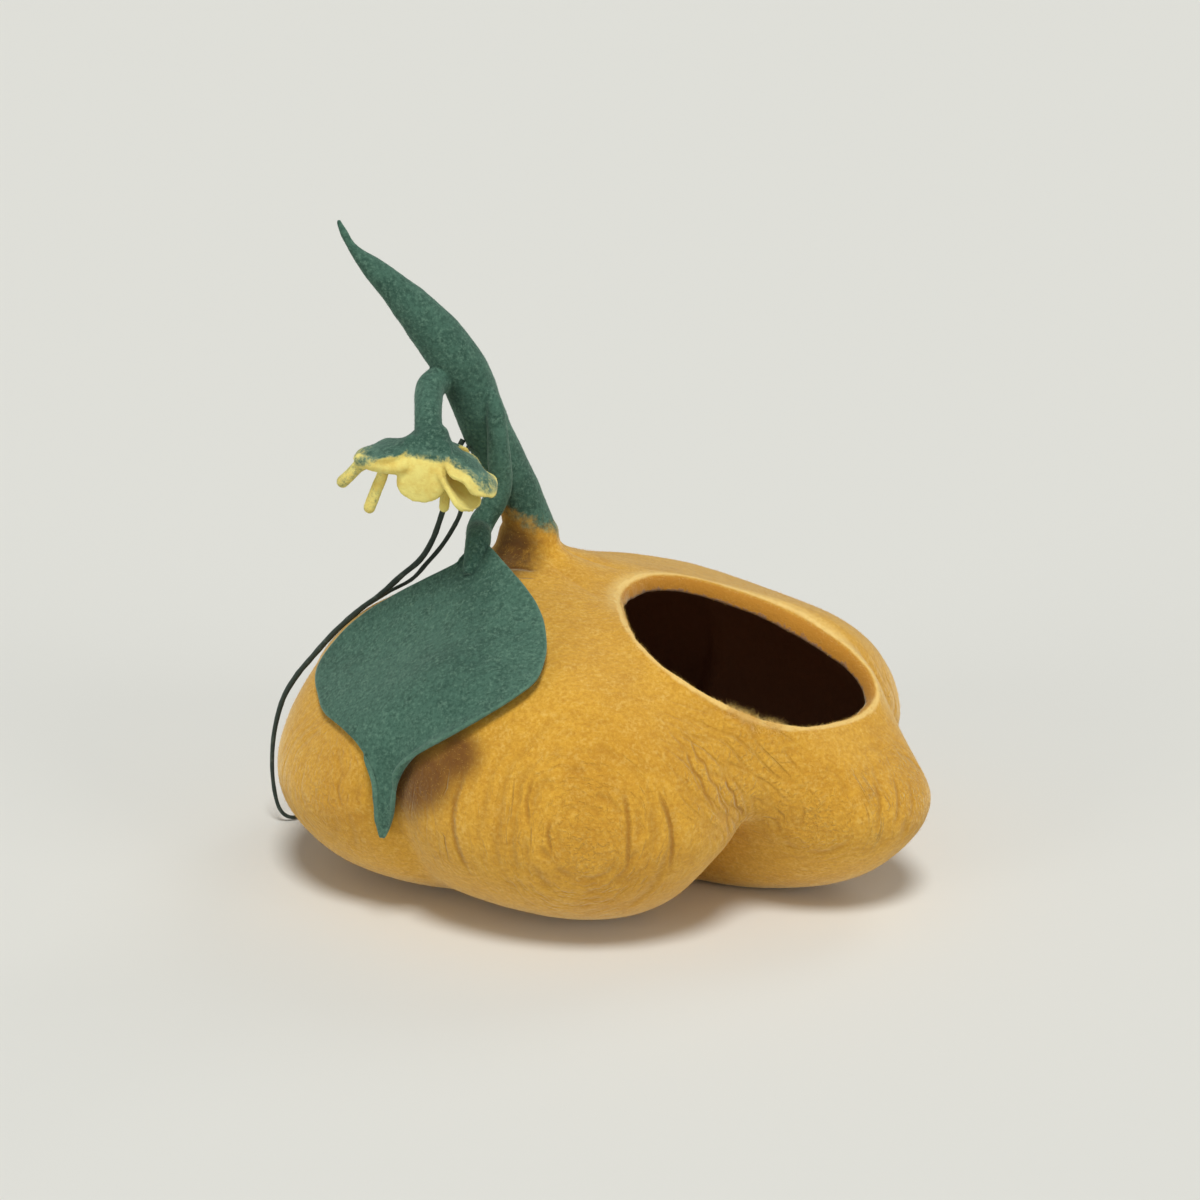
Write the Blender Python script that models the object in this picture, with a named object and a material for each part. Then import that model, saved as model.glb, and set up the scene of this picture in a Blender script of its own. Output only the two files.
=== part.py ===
"""Felt cat cave in the form of a lobed gourd, with a curved stem, a hanging flower, a leaf and two tendrils.

Metres, +Z up. The gourd stands on z = 0, its front looks along -Y and its mouth opens at the upper right front.
The origin is the middle of the flat underside. Azimuths are degrees from the front, positive to the right.
"""

import math

import bmesh
import bpy
from mathutils import Matrix, Vector
from mathutils.bvhtree import BVHTree

# ---------------------------------------------------------------------------------------------- driving dimensions
HALF_WIDTH = 0.262
HALF_DEPTH = 0.225
WALL = 0.006
GAP = 0.0003
DRAPE_GAP = 0.0034
LEAF_THICK = 0.0035

COLUMNS = 60
STEPS_PER_SECTION = 3
FINE_COLUMNS = 180
FINE_STEPS = 9

NECK_AT = Vector((-0.056, 0.030, 0.0))

# One row for each lobe: the azimuth of the crease it starts at, that crease's depth on the side and at the foot (1
# is the deepest), how far the lobe's middle swells past the plan's ellipse, how high its shoulder rises and how
# round its flanks are (less is fuller).
LOBES = (
    {"azimuth": -95.0, "side": 0.60, "foot": 0.50, "swell": 0.995, "rise": 0.86, "round": 0.62},
    {"azimuth": -43.0, "side": 0.62, "foot": 0.15, "swell": 1.00, "rise": 1.00, "round": 0.57},
    {"azimuth": 35.0, "side": 1.00, "foot": 1.15, "swell": 1.08, "rise": 0.76, "round": 0.82},
    {"azimuth": 88.0, "side": 0.95, "foot": 0.60, "swell": 1.00, "rise": 0.93, "round": 0.66},
    {"azimuth": 150.0, "side": 0.60, "foot": 0.60, "swell": 0.98, "rise": 0.92, "round": 0.62},
    {"azimuth": 208.0, "side": 0.60, "foot": 0.50, "swell": 0.98, "rise": 0.94, "round": 0.62},
)

# One row for each level of the wall, from the middle of the underside to the top of the yellow neck. Reach is a
# share of the plan's radius, on the middle of a lobe and in the deepest crease; rise is the share of the lobe's
# rise that acts there, foot the share of the crease's foot depth, and shift moves the level to the neck.
SECTION_COLUMNS = ("lobe_reach", "lobe_z", "crease_reach", "crease_z", "rise", "foot", "shift")
SECTIONS = [dict(zip(SECTION_COLUMNS, row)) for row in (
    (0.000, 0.000, 0.000, 0.000, 0.0, 1.0, 0.00),
    (0.340, 0.000, 0.300, 0.000, 0.0, 1.0, 0.00),
    (0.590, 0.000, 0.400, 0.024, 0.0, 1.0, 0.00),
    (0.860, 0.027, 0.600, 0.066, 0.2, 0.7, 0.00),
    (1.000, 0.084, 0.790, 0.094, 0.6, 0.1, 0.00),
    (0.940, 0.144, 0.800, 0.142, 1.0, 0.0, 0.00),
    (0.760, 0.189, 0.705, 0.185, 1.0, 0.0, 0.05),
    (0.500, 0.213, 0.475, 0.210, 0.6, 0.0, 0.35),
    (0.250, 0.227, 0.240, 0.224, 0.1, 0.0, 0.85),
    (0.115, 0.240, 0.112, 0.239, 0.0, 0.0, 1.00),
    (0.086, 0.258, 0.086, 0.258, 0.0, 0.0, 1.00),
)]

# The mouth's own plane, the reach of its rim in eight directions (from the right-hand corner, turning over the far
# side) and how far the felt turns in there.
MOUTH_AT = Vector((0.117, -0.058, 0.187))
MOUTH_FACES = Vector((0.27, -0.20, 0.94)).normalized()
MOUTH_RIM = (
    {"reach": 0.101, "turn_in": 0.006},
    {"reach": 0.079, "turn_in": 0.012},
    {"reach": 0.077, "turn_in": 0.013},
    {"reach": 0.110, "turn_in": 0.012},
    {"reach": 0.105, "turn_in": 0.005},
    {"reach": 0.101, "turn_in": 0.002},
    {"reach": 0.095, "turn_in": 0.002},
    {"reach": 0.088, "turn_in": 0.003},
)

MOUTH_DEPTH = 0.08
RELAXED_OUT_TO = 1.35
RELAX_ROUNDS = 8

# Centre line and radius of the stem, from the neck to the curled tip.
STEM = (
    {"at": (-0.0560, 0.030, 0.2583), "radius": 0.0200},
    {"at": (-0.0600, 0.028, 0.2740), "radius": 0.0180},
    {"at": (-0.0650, 0.025, 0.2910), "radius": 0.0175},
    {"at": (-0.0745, 0.021, 0.3110), "radius": 0.0180},
    {"at": (-0.0845, 0.018, 0.3330), "radius": 0.0188},
    {"at": (-0.0935, 0.015, 0.3570), "radius": 0.0196},
    {"at": (-0.1010, 0.012, 0.3790), "radius": 0.0196},
    {"at": (-0.1095, 0.009, 0.3960), "radius": 0.0194},
    {"at": (-0.1200, 0.007, 0.4115), "radius": 0.0188},
    {"at": (-0.1320, 0.005, 0.4265), "radius": 0.0170},
    {"at": (-0.1440, 0.004, 0.4410), "radius": 0.0145},
    {"at": (-0.1565, 0.003, 0.4550), "radius": 0.0115},
    {"at": (-0.1700, 0.002, 0.4680), "radius": 0.0085},
    {"at": (-0.1800, 0.001, 0.4780), "radius": 0.0052},
    {"at": (-0.1868, 0.000, 0.4868), "radius": 0.0032},
    {"at": (-0.1915, 0.000, 0.4960), "radius": 0.0028},
    {"at": (-0.1954, 0.000, 0.5052), "radius": 0.0018},
)
STEM_STEPS = 2
STEM_SIDES = 14
STALK_STEPS = 3
STALK_SIDES = 10

# The flower hangs on a short stalk from the left of the stem and faces the floor.
FLOWER_AT = Vector((-0.1280, -0.0460, 0.3410))
FLOWER_TILT = math.radians(9.0)
CALYX_RADIUS = 0.029
FLOWER_SEAT = {"z": 0.3920, "azimuth": -53.0, "clear": 0.0008, "radius": 0.0118, "straight": 0.006}
FLOWER_STALK = (
    {"at": (-0.1290, -0.0160, 0.3765), "radius": 0.0106},
    {"at": (-0.1290, -0.0280, 0.3700), "radius": 0.0104},
    {"at": (-0.1286, -0.0375, 0.3620), "radius": 0.0104},
    {"at": (-0.1283, -0.0435, 0.3550), "radius": 0.0108},
)
CALYX_SIDES = 16
# The calyx's skirt: radius and height above the petals' roots, from the stalk down to its edge.
CALYX_SKIRT = (
    {"radius": 0.0130, "up": 0.0125},
    {"radius": 0.0180, "up": 0.0080},
    {"radius": CALYX_RADIUS, "up": 0.0020},
    {"radius": CALYX_RADIUS + 0.002, "up": 0.0},
)
# Petals: azimuth about the flower, reach from its axis, width, thickness, the slope at the root and at the tip in
# degrees below level, where the root starts and how far it lies under the calyx.
PETAL_COLUMNS = ("name", "azimuth", "reach", "width", "thick", "root", "tip", "start", "under")
PETALS = [dict(zip(PETAL_COLUMNS, row)) for row in (
    ("petal_left", -78.0, 0.060, 0.046, 0.0070, 12.0, 24.0, 0.011, 0.0003),
    ("petal_front", -4.0, 0.056, 0.031, 0.0035, 20.0, 126.0, 0.0113, 0.0003),
    ("petal_right", 70.0, 0.069, 0.040, 0.0035, 18.0, 32.0, 0.010, 0.0003),
    ("petal_back", 168.0, 0.046, 0.046, 0.0035, 16.0, 60.0, 0.010, 0.0003),
    ("petal_right_under", 62.0, 0.062, 0.028, 0.0035, 42.0, 64.0, 0.015, 0.0061),
)]
PETAL_STEPS = 10
PETAL_HALF_COLUMNS = 3
# A petal's width as a share of its full width: at the root, its growth outwards, and where the round tip starts.
PETAL_ROOT_SHARE = 0.30
PETAL_GROWTH = 1.1
PETAL_TIP_FROM = 0.55
PETAL_CURL = 1.5
PETAL_CUP = 0.16
FINGER_STEPS = 3
FINGER_SIDES = 8
FINGER_TIP_SHARE = 0.8
# Fingers: radius, and places in the flower's own frame from the calyx to the tip.
FINGERS = (
    {"name": "finger_left", "radius": 0.0040,
     "route": ((-0.0043, 0.0025, -0.0003), (-0.0050, 0.0025, -0.0090), (-0.0180, 0.0015, -0.0200),
               (-0.0440, -0.0020, -0.0255), (-0.0690, -0.0030, -0.0380))},
    {"name": "finger_middle", "radius": 0.0040,
     "route": ((0.0000, -0.0049, -0.0003), (-0.0010, -0.0052, -0.0090), (-0.0190, -0.0120, -0.0240),
               (-0.0380, -0.0160, -0.0400), (-0.0500, -0.0180, -0.0560))},
    {"name": "finger_right", "radius": 0.0034,
     "route": ((0.0043, 0.0025, -0.0003), (0.0046, 0.0022, -0.0080), (0.0070, 0.0000, -0.0240),
               (0.0105, -0.0030, -0.0480))},
)

# The leaf stalk winds down the front of the stem: height, azimuth about the stem, clearance from it and radius.
STALK_COLUMNS = ("z", "azimuth", "clear", "radius")
LEAF_STALK = [dict(zip(STALK_COLUMNS, row)) for row in (
    (0.372, 52.0, 0.0005, 0.0040),
    (0.354, 36.0, 0.0005, 0.0072),
    (0.330, 12.0, 0.0004, 0.0088),
    (0.305, -20.0, 0.0020, 0.0092),
    (0.284, -38.0, 0.0160, 0.0092),
    (0.266, -30.0, 0.0360, 0.0092),
    (0.252, -27.0, 0.0480, 0.0045),
)]
# The leaf's blade: distance down the midrib, half widths, how far the felt stands off the gourd, and how far the
# midrib has turned to the leaf's right (degrees).
LEAF_START = Vector((-0.0900, -0.0290, 0.2640))
LEAF_HEADING = Vector((-0.50, -0.80, -0.30)).normalized()
LEAF_COLUMNS = ("down", "left", "right", "lift", "turn")
LEAF = [dict(zip(LEAF_COLUMNS, row)) for row in (
    (0.000, 0.004, 0.004, 0.036, 0.0),
    (0.014, 0.026, 0.008, 0.028, 0.0),
    (0.036, 0.066, 0.073, 0.015, 0.0),
    (0.062, 0.085, 0.111, 0.006, 0.0),
    (0.092, 0.097, 0.133, 0.000, 0.0),
    (0.128, 0.095, 0.108, 0.000, 0.0),
    (0.160, 0.065, 0.082, 0.000, 6.0),
    (0.190, 0.017, 0.042, 0.000, 16.0),
    (0.212, 0.009, 0.013, 0.002, 23.0),
    (0.234, 0.008, 0.008, 0.003, 25.0),
    (0.252, 0.003, 0.003, 0.003, 25.0),
)]
LEAF_ROWS = 22
LEAF_HALF_COLUMNS = 6
LEAF_RELAX_ROUNDS = 12

# Tendrils: hand-placed routes from the stem to the floor behind the gourd.
TENDRIL_LONG = {
    "radius": 0.0021,
    "points": 52,
    "route": (
        (-0.1056, 0.0122, 0.3330), (-0.1120, 0.0070, 0.3210), (-0.1155, 0.0000, 0.3060),
        (-0.1180, -0.0050, 0.2920), (-0.1225, -0.0060, 0.2770), (-0.1300, 0.0000, 0.2560),
        (-0.1405, 0.0060, 0.2380), (-0.1560, 0.0120, 0.2230), (-0.1735, 0.0180, 0.2053),
        (-0.1900, 0.0240, 0.1915), (-0.2120, 0.0320, 0.1695), (-0.2330, 0.0400, 0.1440),
        (-0.2455, 0.0430, 0.1280), (-0.2570, 0.0440, 0.1080), (-0.2650, 0.0450, 0.0800),
        (-0.2680, 0.0450, 0.0520), (-0.2670, 0.0450, 0.0280), (-0.2630, 0.0455, 0.0110),
        (-0.2550, 0.0480, 0.0032), (-0.2430, 0.0560, 0.0025), (-0.2290, 0.0700, 0.0025),
    ),
}
TENDRIL_SHORT = {
    "radius": 0.0016,
    "points": 34,
    "route": (
        (-0.1013, 0.0074, 0.3290), (-0.1048, -0.0020, 0.3140), (-0.1055, -0.0060, 0.2980),
        (-0.1075, -0.0040, 0.2800), (-0.1145, 0.0020, 0.2640), (-0.1240, 0.0060, 0.2485),
        (-0.1355, 0.0100, 0.2340), (-0.1480, 0.0160, 0.2190), (-0.1660, 0.0260, 0.2060),
        (-0.1850, 0.0400, 0.1900),
    ),
}

YELLOW = (0.66, 0.37, 0.045, 1.0)
PALE_YELLOW = (0.82, 0.70, 0.17, 1.0)
GREEN = (0.075, 0.17, 0.125, 1.0)
DARK_GREEN = (0.03, 0.05, 0.045, 1.0)


# ------------------------------------------------------------------------------------------------------- helpers
def clear_scene():
    """Start from an empty scene."""
    for thing in list(bpy.data.objects):
        bpy.data.objects.remove(thing, do_unlink=True)


def felt(name, colour):
    """A matt wool felt."""
    material = bpy.data.materials.new(name)
    material.use_nodes = True
    shader = material.node_tree.nodes["Principled BSDF"]
    shader.inputs["Base Color"].default_value = colour
    shader.inputs["Roughness"].default_value = 0.95
    shader.inputs["Metallic"].default_value = 0.0
    return material


def add_object(name, data, material):
    """Put a mesh or curve into the scene under its sub-part's name."""
    thing = bpy.data.objects.new(name, data)
    data.materials.append(material)
    bpy.context.scene.collection.objects.link(thing)
    return thing


def mesh_from(bm, name):
    """Turn a bmesh into a smooth-shaded mesh with its faces pointing out."""
    bmesh.ops.recalc_face_normals(bm, faces=bm.faces)
    mesh = bpy.data.meshes.new(name)
    bm.to_mesh(mesh)
    bm.free()
    mesh.shade_smooth()
    return mesh


def catmull_rom(a, b, c, d, t):
    """Smooth value between b and c, for numbers or vectors."""
    return 0.5 * (2.0 * b + (c - a) * t + (2.0 * a - 5.0 * b + 4.0 * c - d) * t * t
                  + (3.0 * b - a - 3.0 * c + d) * t ** 3)


def smooth_at(values, place):
    """Read a list of numbers or vectors as a smooth curve; place runs from 0 to the last index."""
    last = len(values) - 1
    k = min(int(place), last - 1)
    before, after = values[max(k - 1, 0)], values[min(k + 2, last)]
    return catmull_rom(before, values[k], values[k + 1], after, place - k)


def smooth_round(values, turn):
    """Read a list as a closed smooth curve; turn runs from 0 to 1."""
    count = len(values)
    place = (turn % 1.0) * count
    k = int(place)
    picked = [values[(k + step) % count] for step in (-1, 0, 1, 2)]
    return catmull_rom(*picked, place - k)


def column(rows, key):
    """One named column of a table."""
    return [row[key] for row in rows]


def outward(azimuth):
    """Level direction at an azimuth in degrees."""
    angle = math.radians(azimuth)
    return Vector((math.sin(angle), -math.cos(angle), 0.0))


def tube(name, points, radii, sides, material, start=None):
    """A closed solid of round sections along a path, with flat ends; start is the way the first end faces in."""
    bm = bmesh.new()
    rings = []
    side = None
    for k, point in enumerate(points):
        along = (points[min(k + 1, len(points) - 1)] - points[max(k - 1, 0)]).normalized()
        if start is not None and k == 0:
            along = start
        side = (Vector((0.0, 1.0, 0.0)) if side is None else side)
        side = (side - along * side.dot(along)).normalized()
        across = along.cross(side)
        turns = [2.0 * math.pi * n / sides for n in range(sides)]
        rings.append([bm.verts.new(point + radii[k] * (math.cos(t) * side + math.sin(t) * across)) for t in turns])
    for low, high in zip(rings, rings[1:]):
        for n in range(sides):
            bm.faces.new((low[n], low[(n + 1) % sides], high[(n + 1) % sides], high[n]))
    bm.faces.new(list(reversed(rings[0])))
    bm.faces.new(rings[-1])
    return add_object(name, mesh_from(bm, name), material)


def smooth_tube(name, rows, steps, sides, material, start=None):
    """A tube through a table of places and radii."""
    places = [k / steps for k in range((len(rows) - 1) * steps + 1)]
    points = [smooth_at([Vector(at) for at in column(rows, "at")], place) for place in places]
    radii = [smooth_at(column(rows, "radius"), place) for place in places]
    return tube(name, points, radii, sides, material, start)


# --------------------------------------------------------------------------------------------------- cave shell
def lobe_at(azimuth, foot_share):
    """How full the gourd is at an azimuth (0 in the deepest crease, 1 on a lobe), and its swell and rise there."""
    for k, lobe in enumerate(LOBES):
        following = LOBES[(k + 1) % len(LOBES)]
        span = (following["azimuth"] - lobe["azimuth"]) % 360.0
        share = ((azimuth - lobe["azimuth"]) % 360.0) / span
        if share < 1.0:
            starts, ends = (row["side"] + (row["foot"] - row["side"]) * foot_share for row in (lobe, following))
            depth = starts * (1.0 - share) + ends * share
            bulge = math.sin(math.pi * share) ** lobe["round"]
            swell, rise = (1.0 + (lobe[key] - 1.0) * bulge for key in ("swell", "rise"))
            return 1.0 - depth * (1.0 - bulge), swell, rise
    return 1.0, 1.0, 1.0


def wall_point(azimuth, place):
    """A point of the outer wall; place counts sections upwards."""
    angle = math.radians(azimuth)
    plan = 1.0 / math.hypot(math.sin(angle) / HALF_WIDTH, math.cos(angle) / HALF_DEPTH)
    level = {key: smooth_at(column(SECTIONS, key), place) for key in SECTIONS[0]}
    fullness, swell, rise = lobe_at(azimuth, level["foot"])
    reach = level["lobe_reach"] * swell * fullness + level["crease_reach"] * (1.0 - fullness)
    raised = 1.0 + (rise - 1.0) * level["rise"]
    height = level["lobe_z"] * raised * fullness + level["crease_z"] * (1.0 - fullness)
    return outward(azimuth) * reach * plan + NECK_AT * level["shift"] + Vector((0.0, 0.0, max(height, 0.0)))


def gourd_skin(columns, steps):
    """The closed outer skin of the gourd, with a ring of columns for each step up the sections."""
    bm = bmesh.new()
    rings = []
    for k in range(1, (len(SECTIONS) - 1) * steps + 1):
        rings.append([bm.verts.new(wall_point(360.0 * n / columns, k / steps)) for n in range(columns)])
    for low, high in zip(rings, rings[1:]):
        for n in range(columns):
            bm.faces.new((low[n], low[(n + 1) % columns], high[(n + 1) % columns], high[n]))
    for ring in (rings[0], rings[-1]):
        middle = bm.verts.new(sum((v.co for v in ring), Vector()) / columns)
        for n in range(columns):
            bm.faces.new((ring[n], ring[(n + 1) % columns], middle))
    bmesh.ops.recalc_face_normals(bm, faces=bm.faces)
    return bm


def mouth_frame():
    """Axes of the mouth's plane: to its right-hand corner, to its far side, and out."""
    right = Vector((1.0, 0.0, 0.0))
    right = (right - MOUTH_FACES * right.dot(MOUTH_FACES)).normalized()
    return right, MOUTH_FACES.cross(right), MOUTH_FACES


def mouth_polar(point):
    """A point's turn about the mouth (0 to 1) and its distance as a share of the rim's."""
    right, far, _ = mouth_frame()
    offset = point - MOUTH_AT
    x, y = offset.dot(right), offset.dot(far)
    turn = (math.atan2(y, x) / (2.0 * math.pi)) % 1.0
    return turn, math.hypot(x, y) / smooth_round(column(MOUTH_RIM, "reach"), turn)


def rim_point(turn, tree):
    """The rim's place on the gourd's skin."""
    right, far, out = mouth_frame()
    reach = smooth_round(column(MOUTH_RIM, "reach"), turn)
    angle = 2.0 * math.pi * turn
    above = MOUTH_AT + reach * (math.cos(angle) * right + math.sin(angle) * far) + 0.1 * out
    return tree.ray_cast(above, -out)[0]


def loop_order(edges):
    """The corners of a closed run of edges, in order."""
    order = [edges[0].verts[0]]
    edge = edges[0]
    while len(order) < len(edges):
        vert = edge.other_vert(order[-1])
        order.append(vert)
        edge = next(other for other in vert.link_edges if other.is_boundary and other is not edge)
    return order


def evened_turns(rim):
    """Each rim corner's turn about the mouth, evened out along the rim so that none pass each other."""
    first = mouth_polar(rim[0].co)[0]
    turns = [(mouth_polar(vert.co)[0] - first + 0.5) % 1.0 - 0.5 for vert in rim]
    for k in range(1, len(turns)):
        turns[k] = turns[k - 1] + (turns[k] - turns[k - 1] + 0.5) % 1.0 - 0.5
    whole = 1.0 if turns[-1] > 0.0 else -1.0
    for _ in range(RELAX_ROUNDS):
        before = [turns[-1] - whole] + turns[:-1]
        after = turns[1:] + [turns[0] + whole]
        turns = [(low + high) / 2.0 for low, high in zip(before, after)]
    return [first + turn for turn in turns]


def open_mouth(bm):
    """Cut the mouth, lay its edge on the rim and turn the felt in."""
    tree = BVHTree.FromBMesh(bm)
    inside = []
    for face in bm.faces:
        centre = face.calc_center_median()
        if mouth_polar(centre)[1] < 1.0 and (centre - MOUTH_AT).dot(MOUTH_FACES) > -MOUTH_DEPTH:
            inside.append(face)
    bmesh.ops.delete(bm, geom=inside, context="FACES")
    edges = [edge for edge in bm.edges if edge.is_boundary]
    rim = loop_order(edges)
    for vert, turn in zip(rim, evened_turns(rim)):
        vert.co = rim_point(turn, tree)
    held = set(rim)
    near = [v for v in bm.verts if v not in held and mouth_polar(v.co)[1] < RELAXED_OUT_TO
            and (v.co - MOUTH_AT).dot(MOUTH_FACES) > -MOUTH_DEPTH]
    for _ in range(RELAX_ROUNDS):
        for vert in near:
            around = [edge.other_vert(vert).co for edge in vert.link_edges]
            vert.co = tree.find_nearest(vert.co.lerp(sum(around, Vector()) / len(around), 0.6))[0]
    for inward, down in ((0.6, 0.1), (0.4, 0.9)):
        edges = turn_in(bm, edges, inward, down)


def turn_in(bm, edges, inward, down):
    """One step of the felt's turned edge, as shares of the turn at each place."""
    grown = bmesh.ops.extrude_edge_only(bm, edges=edges)["geom"]
    verts = [item for item in grown if isinstance(item, bmesh.types.BMVert)]
    right, far, out = mouth_frame()
    for vert in verts:
        turn = mouth_polar(vert.co)[0]
        amount = smooth_round(column(MOUTH_RIM, "turn_in"), turn)
        angle = 2.0 * math.pi * turn
        vert.co -= amount * inward * (math.cos(angle) * right + math.sin(angle) * far) + amount * down * out
    return [item for item in grown if isinstance(item, bmesh.types.BMEdge) and item.is_boundary]


def cave_shell(material):
    """The hollow gourd: skin, mouth and a wall of even thickness."""
    bm = gourd_skin(COLUMNS, STEPS_PER_SECTION)
    open_mouth(bm)
    shell = add_object("cave_shell", mesh_from(bm, "cave_shell"), material)
    wall = shell.modifiers.new("wall", "SOLIDIFY")
    wall.thickness = WALL
    wall.offset = -1.0
    return shell


# ---------------------------------------------------------------------------------------------------- stem, leaf
def stem_at(height):
    """The stem's centre and radius at a height."""
    places = [k / 50.0 for k in range((len(STEM) - 1) * 50 + 1)]
    centres = [Vector(at) for at in column(STEM, "at")]
    place = min(places, key=lambda spot: abs(smooth_at(centres, spot).z - height))
    return smooth_at(centres, place), smooth_at(column(STEM, "radius"), place)


def beside_stem(height, azimuth, clearance):
    """A place off the stem's surface and the way out to it, square to the stem's centre line."""
    centre, radius = stem_at(height)
    along = (stem_at(height + 0.004)[0] - stem_at(height - 0.004)[0]).normalized()
    out = outward(azimuth)
    out = (out - along * out.dot(along)).normalized()
    return centre + out * (radius + clearance), out


def leaf_stalk_rows():
    """Places and radii of the leaf's stalk beside the stem."""
    return [{"at": beside_stem(row["z"], row["azimuth"], row["radius"] + row["clear"])[0], "radius": row["radius"]}
            for row in LEAF_STALK]


def walk(point, heading, distance, lift, tree):
    """A step over the gourd, keeping a lift above its skin."""
    moved = point + heading * distance
    near, normal, _, _ = tree.find_nearest(moved)
    landed = near + normal * (DRAPE_GAP + LEAF_THICK + lift)
    return landed, (heading - normal * heading.dot(normal)).normalized(), normal


def leaf_grid(tree):
    """Points of the leaf's upper face, a row across for each step down the midrib."""
    last = len(LEAF) - 1
    downs = column(LEAF, "down")
    rows = []
    point = LEAF_START
    heading = LEAF_HEADING
    travelled = turned = 0.0
    for k in range(LEAF_ROWS + 1):
        place = last * k / LEAF_ROWS
        down = smooth_at(downs, place)
        level = {key: smooth_at(column(LEAF, key), place) for key in LEAF[0]}
        point, heading, normal = walk(point, heading, down - travelled, level["lift"], tree)
        heading = Matrix.Rotation(math.radians(turned - level["turn"]), 3, normal) @ heading
        travelled, turned = down, level["turn"]
        across = heading.cross(normal).normalized()
        row = {0: point.copy()}
        for hand, width in ((-1, level["left"]), (1, level["right"])):
            spot, direction = point, across * hand
            for n in range(1, LEAF_HALF_COLUMNS + 1):
                spot, direction, _ = walk(spot, direction, width / LEAF_HALF_COLUMNS, level["lift"], tree)
                row[hand * n] = spot.copy()
        rows.append([row[n] for n in range(-LEAF_HALF_COLUMNS, LEAF_HALF_COLUMNS + 1)])
    return rows


def relax(rows, tree, rounds):
    """Let the felt bridge the creases: even it out, and keep it clear of the gourd."""
    keep = DRAPE_GAP + LEAF_THICK
    for _ in range(rounds):
        evened = [list(row) for row in rows]
        for i in range(1, len(rows) - 1):
            for j in range(1, len(rows[0]) - 1):
                around = (rows[i - 1][j] + rows[i + 1][j] + rows[i][j - 1] + rows[i][j + 1]) / 4.0
                moved = rows[i][j].lerp(around, 0.5)
                near, normal, _, _ = tree.find_nearest(moved)
                height = (moved - near).dot(normal)
                evened[i][j] = moved + normal * max(keep - height, 0.0)
        rows = evened
    return rows


def leaf(material, tree):
    """The leaf in one piece: its stalk beside the stem, and the blade draped over the front left lobes."""
    rows = relax(leaf_grid(tree), tree, LEAF_RELAX_ROUNDS)
    bm = bmesh.new()
    grid = [[bm.verts.new(point) for point in row] for row in rows]
    for near, far in zip(grid, grid[1:]):
        for n in range(len(near) - 1):
            bm.faces.new((near[n], near[n + 1], far[n + 1], far[n]))
    bmesh.ops.recalc_face_normals(bm, faces=bm.faces)
    if sum((face.normal for face in bm.faces), Vector()).z < 0.0:
        bmesh.ops.reverse_faces(bm, faces=bm.faces)
    mesh = bpy.data.meshes.new("leaf")
    bm.to_mesh(mesh)
    bm.free()
    mesh.shade_smooth()
    blade = add_object("leaf", mesh, material)
    sheet = blade.modifiers.new("sheet", "SOLIDIFY")
    sheet.thickness = LEAF_THICK
    sheet.offset = -1.0
    stalk = smooth_tube("leaf_stalk", leaf_stalk_rows(), STALK_STEPS, STALK_SIDES, material)
    stalk.hide_render = True
    stalk.display_type = "WIRE"
    joined = blade.modifiers.new("stalk", "BOOLEAN")
    joined.operation = "UNION"
    joined.object = stalk
    return blade


# ------------------------------------------------------------------------------------------------------- flower
def flower_frame():
    """The flower's own axes, leaning down to the right."""
    return Matrix.Translation(FLOWER_AT) @ Matrix.Rotation(FLOWER_TILT, 4, "Y")


def calyx(material):
    """The green stub and the skirt that covers the petals' roots."""
    seat, out = beside_stem(FLOWER_SEAT["z"], FLOWER_SEAT["azimuth"], FLOWER_SEAT["clear"])
    stalk = [seat, seat + out * FLOWER_SEAT["straight"]] + [Vector(at) for at in column(FLOWER_STALK, "at")]
    radii = [FLOWER_SEAT["radius"], FLOWER_STALK[0]["radius"]] + column(FLOWER_STALK, "radius")
    axis = flower_frame()
    points = stalk + [axis @ Vector((0.0, 0.0, height)) for height in column(CALYX_SKIRT, "up")]
    radii = radii + column(CALYX_SKIRT, "radius")
    return tube("flower_calyx", points, radii, CALYX_SIDES, material, out)


def petal_fullness(share):
    """A petal's width at a share of its length, as a share of its full width."""
    tip = max(0.0, (share - PETAL_TIP_FROM) / (1.0 - PETAL_TIP_FROM))
    return min(1.0, PETAL_ROOT_SHARE + PETAL_GROWTH * share) * math.sqrt(max(0.06, 1.0 - tip ** 2.2))


def petal(row, material):
    """One curled petal, a sheet of felt from under the calyx."""
    bm = bmesh.new()
    frame = flower_frame() @ Matrix.Rotation(math.radians(row["azimuth"]), 4, "Z")
    length = row["reach"] - row["start"]
    spot = Vector((0.0, -row["start"], -row["under"]))
    grid = []
    for k in range(PETAL_STEPS + 1):
        share = k / PETAL_STEPS
        slope = math.radians(row["root"] + (row["tip"] - row["root"]) * share ** PETAL_CURL)
        if k:
            spot = spot + Vector((0.0, -math.cos(slope), -math.sin(slope))) * (length / PETAL_STEPS)
        half = 0.5 * row["width"] * petal_fullness(share)
        line = []
        for n in range(-PETAL_HALF_COLUMNS, PETAL_HALF_COLUMNS + 1):
            side = n / PETAL_HALF_COLUMNS
            line.append(bm.verts.new(frame @ (spot + Vector((half * side, 0.0, -PETAL_CUP * half * side * side)))))
        grid.append(line)
    for near, far in zip(grid, grid[1:]):
        for n in range(len(near) - 1):
            bm.faces.new((near[n], far[n], far[n + 1], near[n + 1]))
    mesh = bpy.data.meshes.new(row["name"])
    bm.normal_update()
    bm.to_mesh(mesh)
    bm.free()
    mesh.shade_smooth()
    thing = add_object(row["name"], mesh, material)
    sheet = thing.modifiers.new("sheet", "SOLIDIFY")
    sheet.thickness = row["thick"]
    sheet.offset = -1.0
    return thing


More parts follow.
